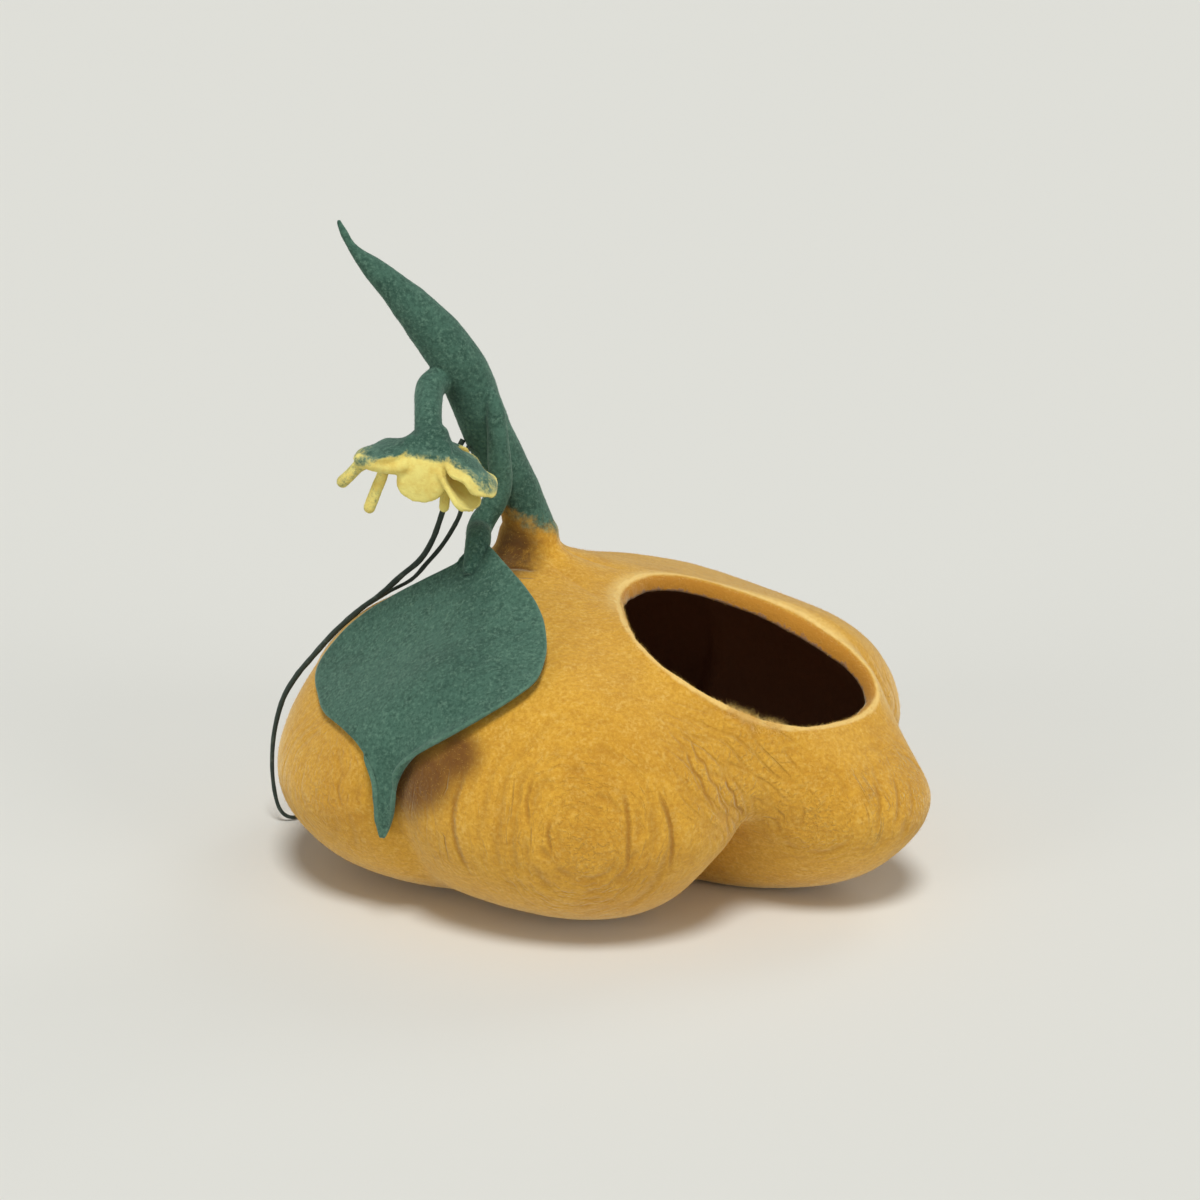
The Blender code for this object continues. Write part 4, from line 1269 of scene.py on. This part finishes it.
# %% Flower
PETALS = table(
    ("name", "azimuth", "length", "width", "thick", "slopes",
     "start", "above", "root_share", "tip_from", "cup", "wave", "green_to", "rim_from"),
    ("petal_left", -78.0, 0.052, 0.044, 0.0046, (50.0, 20.0, 27.0, 42.0),
     0.0115, 0.0125, 0.42, 0.55, 0.16, 0.0010, 0.96, 1.2),
    ("petal_front", -4.0, 0.053, 0.037, 0.0044, (40.0, 62.0, 88.0, 97.0),
     0.0115, 0.0125, 0.80, 0.72, 0.10, 0.0004, 0.36, 0.8),
    ("petal_right", 70.0, 0.060, 0.048, 0.0038, (46.0, 26.0, 33.0, 64.0),
     0.0115, 0.0125, 0.40, 0.62, 0.26, 0.0020, 0.95, 0.66),
    ("petal_back", 168.0, 0.052, 0.048, 0.0036, (48.0, 24.0, 32.0, 55.0),
     0.0115, 0.0125, 0.42, 0.60, 0.16, 0.0012, 0.92, 0.8),
    ("petal_right_under", 56.0, 0.054, 0.031, 0.0042, (56.0, 50.0, 46.0, 34.0),
     0.0105, 0.0050, 0.45, 0.80, -0.20, 0.0005, 0.00, 0.0),
)
PETAL_STEPS = 24
PETAL_HALF_COLUMNS = 8
PETAL_GROWTH = 1.5
FINGERS = table(
    ("name", "radius", "yellow", "route"),
    ("finger_left", 0.0048, 0.62, ((-0.1600, -0.0570, 0.3370), (-0.1736, -0.0640, 0.3347), (-0.1796, -0.0640, 0.3320),
                                   (-0.1855, -0.0640, 0.3261), (-0.1915, -0.0640, 0.3204))),
    ("finger_middle", 0.0046, 0.72, ((-0.1490, -0.0540, 0.3370), (-0.1595, -0.0620, 0.3301), (-0.1632, -0.0620, 0.3223),
                                     (-0.1684, -0.0620, 0.3098), (-0.1724, -0.0620, 0.3000))),
    ("finger_right", 0.0042, 0.80, ((-0.1240, -0.0500, 0.3420), (-0.1153, -0.0560, 0.3190), (-0.1160, -0.0560, 0.3073),
                                    (-0.1167, -0.0560, 0.2985))),
)
ROLLED_EDGE = {"radius": 0.0054, "yellow": 1.0, "route": (
    (-0.1460, -0.0680, 0.3340), (-0.1530, -0.0690, 0.3326), (-0.1659, -0.0695, 0.3345), (-0.1770, -0.0685, 0.3384))}


def petal_fullness(row, share):
    """A petal's width at a share of its length, as a share of its full width."""
    tip = max(0.0, (share - row["tip_from"]) / (1.0 - row["tip_from"]))
    return min(1.0, row["root_share"] + PETAL_GROWTH * share) * math.sqrt(max(0.05, 1.0 - tip ** 2.4))


def petal_grid(row):
    """Points of a petal's upper face, from its root to its tip."""
    frame_here = FLOWER_FRAME @ Matrix.Rotation(math.radians(row["azimuth"]), 4, "Z")
    spot = Vector((0.0, -row["start"], row["above"]))
    grid = []
    for k in range(PETAL_STEPS + 1):
        share = k / PETAL_STEPS
        slope = math.radians(smooth_at(row["slopes"], share * (len(row["slopes"]) - 1)))
        if k:
            spot = spot + Vector((0.0, -math.cos(slope), -math.sin(slope))) * (row["length"] / PETAL_STEPS)
        half = 0.5 * row["width"] * petal_fullness(row, share)
        under = Vector((0.0, math.sin(slope), -math.cos(slope)))
        line = []
        for n in range(-PETAL_HALF_COLUMNS, PETAL_HALF_COLUMNS + 1):
            side = n / PETAL_HALF_COLUMNS
            wavy = row["wave"] * abs(side) ** 1.5 * math.sin(share * 14.0 + 2.1 * side + row["azimuth"])
            bend = row["cup"] * half * side * side - wavy
            line.append(frame_here @ (spot + Vector((half * side, 0.0, 0.0)) + under * bend))
        grid.append(line)
    return grid


def normals_of(grid):
    """Upward normals of a grid of points."""
    found = []
    for i, line in enumerate(grid):
        down = [grid[min(i + 1, len(grid) - 1)][j] - grid[max(i - 1, 0)][j] for j in range(len(line))]
        over = [line[min(j + 1, len(line) - 1)] - line[max(j - 1, 0)] for j in range(len(line))]
        found.append([over[j].cross(down[j]).normalized() * -1.0 for j in range(len(line))])
    return found


def closed_sheet(bm, grid, thick):
    """Add a closed sheet under a grid of points."""
    normals = normals_of(grid)
    rows, wide = len(grid), len(grid[0])
    top = [[bm.verts.new(point) for point in line] for line in grid]
    low = [[bm.verts.new(grid[i][j] - normals[i][j] * thick) for j in range(wide)] for i in range(rows)]
    for i in range(rows - 1):
        for j in range(wide - 1):
            bm.faces.new((top[i][j], top[i + 1][j], top[i + 1][j + 1], top[i][j + 1]))
            bm.faces.new((low[i][j], low[i][j + 1], low[i + 1][j + 1], low[i + 1][j]))
    border = [(0, j) for j in range(wide)] + [(i, wide - 1) for i in range(1, rows)]
    border += [(rows - 1, j) for j in range(wide - 2, -1, -1)] + [(i, 0) for i in range(rows - 2, 0, -1)]
    for (i, j), (m, n) in zip(border, border[1:] + border[:1]):
        bm.faces.new((top[i][j], top[m][n], low[m][n], low[i][j]))


stalk_points, stalk_radii = smooth_route(FLOWER_STALK, STALK_STEPS)
stalk_points += [FLOWER_FRAME @ Vector((0.0, 0.0, up)) for up in column(BELL, "up")]
tube(green_parts, stalk_points, stalk_radii + column(BELL, "radius"), STEM_SIDES)
petal_grids = [(row, petal_grid(row)) for row in PETALS]
for row, grid in petal_grids:
    closed_sheet(green_parts, grid, row["thick"])
for row in (*FINGERS, ROLLED_EDGE):
    finger_rows = [{"at": spot, "radius": row["radius"]} for spot in row["route"]]
    smooth_tube(green_parts, finger_rows, TUBE_STEPS, FINGER_SIDES)
    for spot in (row["route"][0], row["route"][-1]):
        bmesh.ops.create_icosphere(green_parts, subdivisions=3, radius=row["radius"] * 0.99,
                                   matrix=Matrix.Translation(spot))
bmesh.ops.recalc_face_normals(green_parts, faces=green_parts.faces)
print("with the flower:", len(green_parts.faces), "faces")

# %% Melt the parts together
VOXEL = 0.0011
SMOOTH_ROUNDS = 6


def melted(bm, name):
    """Remesh the parts into one skin and smooth it."""
    mesh = bpy.data.meshes.new(name + "_parts")
    bm.to_mesh(mesh)
    bm.free()
    parts = new_piece(name + "_parts", mesh)
    remesh = parts.modifiers.new("melt", "REMESH")
    remesh.mode = "VOXEL"
    remesh.voxel_size = VOXEL
    smooth = parts.modifiers.new("smooth", "SMOOTH")
    smooth.factor = 0.5
    smooth.iterations = SMOOTH_ROUNDS
    made = new_piece(name, plain_mesh(parts, name))
    bpy.data.objects.remove(parts, do_unlink=True)
    return made


stem_blank = melted(green_parts, "stem_blank")
print("melted:", triangles(stem_blank), "triangles")

# %% [markdown]
# ## Green above, yellow below
#
# The petals are green on top, where the calyx runs out over them, and pale yellow below and round their rims. A
# position alone can't say which side of a thin petal a point is on. Each corner of the melted mesh looks up the
# nearest petal and stores which side of that petal it is on, and how near the rim. Just before the rim the green is
# flecked with yellow wool, as the maker blends the two.

# %% Mark the petals' colours
FINGER_CATCH = 1.25
FLECKED = 0.42
BLUR_ROUNDS = 5
FLOWER_TOP = 0.008
FLOWER_REACH = 0.09
CALYX_ROOT = (0.015, 0.024)
CALYX_BOTTOM = -0.0025


def grid_tree(grid):
    """A search tree over a grid of points, two triangles a cell."""
    wide = len(grid[0])
    points = [point for line in grid for point in line]
    faces = []
    for i in range(len(grid) - 1):
        for j in range(wide - 1):
            corner = i * wide + j
            faces += [(corner, corner + wide, corner + wide + 1), (corner, corner + wide + 1, corner + 1)]
    return BVHTree.FromPolygons(points, faces)


def finger_yellow(point):
    """How yellow a point is that lies on one of the fingers or on the rolled edge, or 0 off them."""
    for row in (*FINGERS, ROLLED_EDGE):
        spots = [Vector(spot) for spot in row["route"]]
        for k in range(6 * (len(spots) - 1) + 1):
            if (smooth_at(spots, k / 6.0) - point).length < row["radius"] * FINGER_CATCH:
                return row["yellow"]
    return 0.0


def petal_mark(point, grids):
    """How yellow a point is, by the petal or finger that it belongs to."""
    nearest = None
    for row, tree, wide in grids:
        place, normal, index, distance = tree.find_nearest(point)
        if nearest is None or distance < nearest[0]:
            nearest = (distance, row, place, normal, index // 2, wide)
    distance, row, place, normal, cell, wide = nearest
    along = (cell // (wide - 1)) / PETAL_STEPS
    side = abs((cell % (wide - 1)) + 0.5 - (wide - 1) / 2.0) / ((wide - 1) / 2.0)
    above = (point - place).dot(normal)
    if distance > row["thick"] + 0.0015 or (above < -0.0008 and finger_yellow(point) > 0.0):
        return finger_yellow(point)
    below = fade(-0.0004, -0.0016, above)
    rim = max(fade(row["rim_from"], row["rim_from"] + 0.15, side),
              fade(row["green_to"] - 0.10, row["green_to"] + 0.05, along))
    flecks = max(fade(row["rim_from"] - 0.50, row["rim_from"], side),
                 fade(row["green_to"] - 0.50, row["green_to"] - 0.10, along))
    on_top = max(rim, FLECKED * flecks) * fade(0.15, 0.35, along)
    return max(below, on_top) if row["green_to"] > 0.0 else 1.0


def blurred(mesh, values, rounds):
    """Even out a mark between neighbouring corners, so that the colours run into each other."""
    ends = [tuple(edge.vertices) for edge in mesh.edges]
    for _ in range(rounds):
        totals, counts = [0.0] * len(values), [0] * len(values)
        for a, b in ends:
            if values[a].value != values[b].value:
                totals[a] += values[b].value - values[a].value
                totals[b] += values[a].value - values[b].value
            counts[a] += 1
            counts[b] += 1
        for k, total in enumerate(totals):
            if total:
                values[k].value += total / (counts[k] + 1)


def mark_flower(thing):
    """Store the yellow share on each corner."""
    grids = [(row, grid_tree(grid), len(grid[0])) for row, grid in petal_grids]
    layer = thing.data.attributes.new("yellow", "FLOAT", "POINT")
    to_flower = FLOWER_FRAME.inverted()
    marked = 0
    for vert, slot in zip(thing.data.vertices, layer.data):
        here = to_flower @ vert.co
        if here.z < FLOWER_TOP and here.length < FLOWER_REACH:
            root = fade(*CALYX_ROOT, math.hypot(here.x, here.y)) if here.z > CALYX_BOTTOM else 1.0
            slot.value = petal_mark(vert.co, grids) * root
            marked += 1
    blurred(thing.data, layer.data, BLUR_ROUNDS)
    return marked


print("corners of the flower marked:", mark_flower(stem_blank))

# %% Green felt


def stem_finish():
    """Green felt that runs into mustard at the neck and yellow in the flower."""
    felt = Felt("green wool", 0.25, (0.72, 0.9, 0.8, 1.0))
    clumps, locks, fibres = felt.nap()
    green = green_colour(felt, clumps, locks, fibres)
    mustard = stained_and_shaded(felt, mustard_colour(felt, clumps, locks, fibres), clumps, locks)
    edge_of_dye, beside = dye_edge(felt, clumps, locks)
    colour = felt.mixed(mustard, green, edge_of_dye.sum("MAXIMUM", beside))
    meets = felt.attribute("yellow").fade(0.0, 0.25) * locks.fade(0.35, 0.6)
    colour = felt.mixed(colour, GREEN_PALE, meets * 0.7)
    yellow = (felt.attribute("yellow") + (locks - 0.5) * 0.7 + (fibres - 0.5) * 0.8).fade(0.22, 0.78)
    petal = felt.mixed(PETAL_YELLOW, PETAL_OCHRE, (clumps * 0.5 + locks * 0.5).fade(0.42, 0.66) * 0.6)
    colour = felt.mixed(colour, petal, yellow)
    return felt.wear(colour, locks * 0.45 + fibres * 0.18, 0.0015)


def small_relief():
    """Shallow dents on a fine mesh."""
    relief = Treatment("small relief", {"Dents": 0.0016, "Dent scale": 55.0, "Lumps": 0.0022, "Lump scale": 22.0})
    spot = relief.node("GeometryNodeInputPosition")
    dents = relief.noise(spot, relief.read("Dent scale"), 2.0) - 0.5
    lumps = relief.noise(spot, relief.read("Lump scale"), 1.0) - 0.5
    lift = dents * relief.read("Dents") + lumps * relief.read("Lumps")
    push = relief.scaled(relief.node("GeometryNodeInputNormal"), lift)
    moved = relief.node("GeometryNodeSetPosition", {}, {"Geometry": relief.read("Geometry"), "Offset": push})
    relief.close(relief.node("GeometryNodeSetShadeSmooth", {}, {0: moved}))
    return relief


green_wool = stem_finish()
stem = new_piece("stem_and_flower", small_relief().apply(stem_blank, green_wool, "stem_and_flower"))
bpy.data.objects.remove(stem_blank, do_unlink=True)
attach(stem, "root")
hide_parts("stem", "flower_calyx", *column(PETALS, "name"), *column(FINGERS, "name"))
print("stem and flower:", triangles(stem), "triangles")

# %% [markdown]
# ## The leaf
#
# The leaf is one thick sheet of felt, cut out and laid over the damp gourd, so it bridges the crease between two
# lobes and keeps that shape. A cloth simulation would find a drape, but this felt is as stiff as cardboard, and the
# leaf's outline in the photograph would be lost. So it is walked over the gourd: from the stalk down the midrib and
# from there to both sides, in steps as long as the felt, and then evened out.

# %% Walk the leaf over the gourd
DRAPE_GAP = 0.0034
LEAF_THICK = 0.0035
LEAF_START = Vector((-0.0900, -0.0290, 0.2640))
LEAF_HEADING = Vector((-0.50, -0.80, -0.30)).normalized()
LEAF_COLUMNS = ("down", "left", "right", "lift", "turn", "stand_off")
LEAF = table(
    LEAF_COLUMNS,
    (0.000, 0.004, 0.004, 0.036, 0.0, 0.000),
    (0.014, 0.026, 0.008, 0.028, 0.0, 0.000),
    (0.036, 0.066, 0.073, 0.015, 0.0, 0.000),
    (0.062, 0.085, 0.111, 0.006, 0.0, 0.001),
    (0.092, 0.097, 0.133, 0.000, 0.0, 0.003),
    (0.128, 0.098, 0.108, 0.000, 0.0, 0.005),
    (0.160, 0.061, 0.082, 0.000, 4.0, 0.006),
    (0.190, 0.009, 0.026, 0.000, 8.0, 0.005),
    (0.212, 0.006, 0.007, 0.002, 6.0, 0.002),
    (0.234, 0.006, 0.006, 0.003, 1.0, 0.000),
    (0.252, 0.002, 0.002, 0.003, 0.0, 0.000),
)
LEAF_ROWS = 22
LEAF_HALF_COLUMNS = 6
LEAF_RELAX_ROUNDS = 12
LEAF_RAGGED = 0.012


def walk(point, heading, distance, lift):
    """A step over the gourd, keeping a lift above its skin."""
    moved = point + heading * distance
    near, normal, _, _ = SKIN_TREE.find_nearest(moved)
    landed = near + normal * (DRAPE_GAP + LEAF_THICK + lift)
    return landed, (heading - normal * heading.dot(normal)).normalized(), normal


def leaf_grid():
    """Points of the leaf's upper face, a row across for each step down the midrib."""
    last = len(LEAF) - 1
    rows = []
    point, heading = LEAF_START, LEAF_HEADING
    travelled = turned = 0.0
    for k in range(LEAF_ROWS + 1):
        place = last * k / LEAF_ROWS
        level = {key: smooth_at(column(LEAF, key), place) for key in LEAF_COLUMNS}
        point, heading, normal = walk(point, heading, level["down"] - travelled, level["lift"])
        heading = Matrix.Rotation(math.radians(turned - level["turn"]), 3, normal) @ heading
        travelled, turned = level["down"], level["turn"]
        across = heading.cross(normal).normalized()
        row = {0: point.copy()}
        for hand, width in ((-1, level["left"]), (1, level["right"])):
            spot, direction = point, across * hand
            ragged = 1.0 + LEAF_RAGGED * noise.noise(Vector((hand * 3.0, place * 1.3, 0.0)))
            for n in range(1, LEAF_HALF_COLUMNS + 1):
                off = level["stand_off"] * (n / LEAF_HALF_COLUMNS) ** 2 if hand < 0 else 0.0
                spot, direction, _ = walk(spot, direction, ragged * width / LEAF_HALF_COLUMNS, level["lift"] + off)
                row[hand * n] = spot.copy()
        rows.append([row[n] for n in range(-LEAF_HALF_COLUMNS, LEAF_HALF_COLUMNS + 1)])
    return rows


def relaxed(rows, rounds):
    """Let the felt bridge the creases: even it out, and keep it clear of the gourd."""
    keep = DRAPE_GAP + LEAF_THICK
    for _ in range(rounds):
        evened = [list(row) for row in rows]
        for i in range(1, len(rows) - 1):
            for j in range(1, len(rows[0]) - 1):
                around = (rows[i - 1][j] + rows[i + 1][j] + rows[i][j - 1] + rows[i][j + 1]) / 4.0
                moved = rows[i][j].lerp(around, 0.5)
                near, normal, _, _ = SKIN_TREE.find_nearest(moved)
                evened[i][j] = moved + normal * max(keep - (moved - near).dot(normal), 0.0)
        rows = evened
    return rows


leaf_rows = relaxed(leaf_grid(), LEAF_RELAX_ROUNDS)
print("the leaf is", len(leaf_rows), "rows long, down to", tuple(round(value, 3) for value in leaf_rows[-1][0]))

# %% Leaf finish and thickness


def leaf_finish():
    """Flat green felt, paler along its cut edge."""
    felt = Felt("leaf wool", 0.3, (0.72, 0.9, 0.8, 1.0))
    clumps, locks, fibres = felt.nap()
    colour = green_colour(felt, clumps, locks, fibres)
    edge = felt.attribute("from_edge")
    pale = 1.0 - (edge + (locks - 0.5) * 0.006).fade(0.0005, 0.003)
    colour = felt.mixed(colour, GREEN_PALE, pale * 0.3)
    return felt.wear(colour, locks * 0.45 + fibres * 0.20, 0.0013)


def flat_area(rows):
    """The area of a grid of points."""
    area = 0.0
    for near, far in zip(rows, rows[1:]):
        for j in range(len(near) - 1):
            area += (far[j] - near[j]).cross(near[j + 1] - near[j]).length
    return area


def make_leaf(finish):
    """The draped blade with its thickness."""
    bm = bmesh.new()
    grid = [[bm.verts.new(point) for point in row] for row in leaf_rows]
    for near, far in zip(grid, grid[1:]):
        for n in range(len(near) - 1):
            bm.faces.new((near[n], near[n + 1], far[n + 1], far[n]))
    bmesh.ops.recalc_face_normals(bm, faces=bm.faces)
    if sum((face.normal for face in bm.faces), Vector()).z < 0.0:
        bmesh.ops.reverse_faces(bm, faces=bm.faces)
    edge_layer = bm.verts.layers.float.new("from_edge")
    border = [vert.co.copy() for vert in bm.verts if vert.is_boundary]
    for vert in bm.verts:
        vert[edge_layer] = min((vert.co - spot).length for spot in border)
    mesh = bpy.data.meshes.new("leaf_blank")
    bm.to_mesh(mesh)
    bm.free()
    blank = new_piece("leaf_blank", mesh)
    finer = blank.modifiers.new("finer", "SUBSURF")
    finer.levels = finer.render_levels = 2
    sheet = blank.modifiers.new("sheet", "SOLIDIFY")
    sheet.thickness = LEAF_THICK
    sheet.offset = -1.0
    round_edge = blank.modifiers.new("round edge", "SUBSURF")
    round_edge.levels = round_edge.render_levels = 1
    leaf = new_piece("leaf_blade", small_relief().apply(
        blank, finish, "leaf_blade", **{"Dents": 0.0007, "Lumps": 0.0012, "Lump scale": 30.0}))
    bpy.data.objects.remove(blank, do_unlink=True)
    return leaf


leaf = make_leaf(leaf_finish())
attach(leaf, "root")
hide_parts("leaf")
flat_area(leaf_rows)
print("leaf:", triangles(leaf), "triangles,", round(flat_area(leaf_rows) * 1e4), "square centimetres")

# %% [markdown]
# ## Loose fibres
#
# However well it is rubbed, wool felt keeps a down of loose fibres. Each is far thinner than a pixel, but together
# they soften every outline. Geometry Nodes scatter thin three-sided spikes over a piece, tilt them at random and lay
# them almost flat. The seed is fixed, so that the same fibres grow each time.

# %% Grow the down
FIBRE_SIDES = 3
FIBRE_CLOUDS = 300.0
FIBRE_RELIEF = 0.0001
FULL_CIRCLE = 6.283
RIM_STRIP = 0.006
TUFTS = ((Vector((0.106, -0.153, 0.169)), 0.013), (Vector((0.130, -0.147, 0.163)), 0.009))


def down():
    """Fine spikes scattered over a mesh."""
    grow = Treatment("down", {"Density": 60000.0, "Length": 0.0034, "Thickness": 0.00011, "Lean low": 0.9,
                              "Lean high": 1.45, "Lowest": 0.010, "Seed": 7})
    seed = grow.read("Seed")
    scatter = {"distribute_method": "RANDOM", "use_legacy_normal": False}
    off_floor = grow.node("GeometryNodeInputPosition").parts()[2].sum("GREATER_THAN", grow.read("Lowest"))
    held = {"Mesh": grow.read("Geometry"), "Selection": off_floor, "Density": grow.read("Density"), "Seed": seed}
    points = grow.node("GeometryNodeDistributePointsOnFaces", scatter, held)
    facing = Strand(grow, points.socket.node.outputs["Rotation"])
    spike = grow.node("GeometryNodeMeshCone", {"fill_type": "NGON"}, {
        "Vertices": FIBRE_SIDES, "Radius Top": 0.0, "Radius Bottom": grow.read("Thickness") * 0.5,
        "Depth": grow.read("Length")})
    lean = grow.node("FunctionNodeRandomValue", {"data_type": "FLOAT_VECTOR"}, {
        "Min": grow.joined(0.0, grow.read("Lean low"), 0.0),
        "Max": grow.joined(0.0, grow.read("Lean high"), FULL_CIRCLE), "Seed": seed})
    sizes = grow.node("FunctionNodeRandomValue", {"data_type": "FLOAT_VECTOR"}, {
        "Min": (0.7, 0.7, 0.4), "Max": (1.2, 1.2, 1.3), "Seed": seed + 1.0})
    turned = grow.node("FunctionNodeRotateRotation", {"rotation_space": "LOCAL"}, {
        "Rotation": facing, "Rotate By": grow.node("FunctionNodeEulerToRotation", {}, {0: lean})})
    placed = grow.node("GeometryNodeInstanceOnPoints", {}, {
        "Points": points, "Instance": spike, "Rotation": turned, "Scale": sizes})
    grow.close(placed)
    return grow


def fibre_finish(name, tint, sheen_tint):
    """One colour of loose fibre, a little uneven."""
    felt = Felt(name, 0.2, sheen_tint)
    clumps = felt.noise(felt.place, FIBRE_CLOUDS, 1.0)
    return felt.wear(felt.mixed(*tint, clumps.fade(0.4, 0.6)), clumps, FIBRE_RELIEF)


def stem_fibre_finish():
    """Fibres that are green on the stem, mustard on the neck and yellow on the petals, as the wool below them."""
    felt = Felt("stem fibre", 0.2, (0.85, 0.9, 0.7, 1.0))
    clumps, locks, _ = felt.nap()
    shade = felt.noise(felt.place, FIBRE_CLOUDS, 1.0).fade(0.4, 0.6)
    green = felt.mixed(GREEN, GREEN_PALE, shade)
    edge_of_dye, beside = dye_edge(felt, clumps, locks)
    mustard = felt.mixed(MUSTARD, MUSTARD_DEEP, shade)
    colour = felt.mixed(mustard, green, edge_of_dye.sum("MAXIMUM", beside))
    colour = felt.mixed(colour, PETAL_YELLOW, felt.attribute("yellow").fade(0.3, 0.7))
    return felt.wear(colour, locks, FIBRE_RELIEF)


def grow_down(name, over, finish, slot, **sizes):
    """A piece of loose fibres over another piece."""
    fibres = new_piece(name, down().apply(over, finish, name, **sizes))
    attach(fibres, "root")
    print(name, triangles(fibres), "triangles")


def rim_strip(name, keep):
    """The gourd's faces along the mouth's edge that a test keeps."""
    bm = bmesh.new()
    bm.from_mesh(gourd_outer.data)
    rim_layer = bm.verts.layers.float["from_rim"]
    gone = [face for face in bm.faces
            if not (max(abs(vert[rim_layer]) for vert in face.verts) < RIM_STRIP and keep(face.calc_center_median()))]
    bmesh.ops.delete(bm, geom=gone, context="FACES")
    mesh = bpy.data.meshes.new(name)
    bm.to_mesh(mesh)
    bm.free()
    return new_piece(name, mesh)


mustard_fibre = fibre_finish("mustard fibre", (MUSTARD, MUSTARD_PALE), (1.0, 0.9, 0.62, 1.0))
green_fibre = fibre_finish("green fibre", (GREEN, GREEN_PALE), (0.72, 0.9, 0.8, 1.0))
grow_down("gourd_down", gourd_outer, mustard_fibre, "felt_mustard", Density=90000.0, Seed=7)
pale_fibre = fibre_finish("pale fibre", (MUSTARD_PALE, MUSTARD_EDGE_AND_HIGHLIGHT), (1.0, 0.92, 0.7, 1.0))
for strip_name, keep, sizes in (
        ("rim_down", lambda spot: True, {"Density": 700000.0, "Length": 0.0032, "Seed": 3}),
        ("rim_tufts", lambda spot: any((spot - at).length < radius for at, radius in TUFTS),
         {"Density": 3000000.0, "Length": 0.0070, "Lean low": 0.3, "Seed": 9})):
    strip = rim_strip(strip_name + "_strip", keep)
    grow_down(strip_name, strip, pale_fibre, "felt_mustard", **sizes)
    bpy.data.objects.remove(strip, do_unlink=True)
grow_down("stem_down", stem, stem_fibre_finish(), "felt_green", Density=150000.0, Length=0.0020, Lowest=0.1, Seed=5)
grow_down("leaf_down", leaf, green_fibre, "felt_green", Density=60000.0, Length=0.0035, Seed=11)
bpy.data.objects.remove(gourd_outer, do_unlink=True)

# %% [markdown]
# ## Floor and light
#
# The photograph was taken on a pale sweep. A high soft light from the front keeps the shadow tight under the lobes,
# a low one on each side of the camera brightens the lobes' undersides, a weak one from behind lights the far rim, and
# the sky fills the rest. Four wide suns and an even sky do that on a large floor: a sun, unlike a lamp, lights the
# floor evenly however far it reaches.

# %% Stage
FLOOR_SIDE = 80.0
FLOOR_COLOUR = (0.765, 0.765, 0.712, 1.0)
SKY_COLOUR = (0.985, 0.985, 1.0, 1.0)
SKY_STRENGTH = 0.24
SUNS = table(
    ("name", "strength", "width", "height", "azimuth"),
    ("high_light", 1.96, 18.0, 66.0, 4.0),
    ("left_light", 0.62, 30.0, 12.0, -52.0),
    ("right_light", 0.70, 30.0, 14.0, 54.0),
    ("back_light", 0.30, 25.0, 40.0, 140.0),
)


def floor_finish():
    """A matt pale sweep."""
    material = bpy.data.materials.new("pale floor")
    material.use_nodes = True
    shader = material.node_tree.nodes["Principled BSDF"]
    shader.inputs["Base Color"].default_value = FLOOR_COLOUR
    shader.inputs["Roughness"].default_value = 1.0
    shader.inputs["Specular IOR Level"].default_value = 0.0
    return material


def make_stage():
    """Floor, sky and suns."""
    bm = bmesh.new()
    bmesh.ops.create_grid(bm, x_segments=8, y_segments=8, size=FLOOR_SIDE / 2.0)
    mesh = bpy.data.meshes.new("pale_floor")
    bm.to_mesh(mesh)
    bm.free()
    floor = new_piece("pale_floor", mesh, floor_finish())
    world = bpy.data.worlds.new("soft sky")
    world.use_nodes = True
    sky = world.node_tree.nodes["Background"]
    sky.inputs["Color"].default_value = SKY_COLOUR
    sky.inputs["Strength"].default_value = SKY_STRENGTH
    bpy.context.scene.world = world
    for row in SUNS:
        light = bpy.data.lights.new(row["name"], "SUN")
        light.energy = row["strength"]
        light.angle = math.radians(row["width"])
        sun = bpy.data.objects.new(row["name"], light)
        sun.rotation_euler = (math.radians(90.0 - row["height"]), 0.0, math.radians(row["azimuth"]))
        bpy.context.scene.collection.objects.link(sun)


make_stage()
bpy.context.scene.view_settings.view_transform = "Standard"
print("stage: floor, sky and", len(SUNS), "wide suns")

# %% [markdown]
# ## The end
#
# The finished cave may stand proud of the solids by only a little fuzz and relief.

# %% End
print("the scene is built")
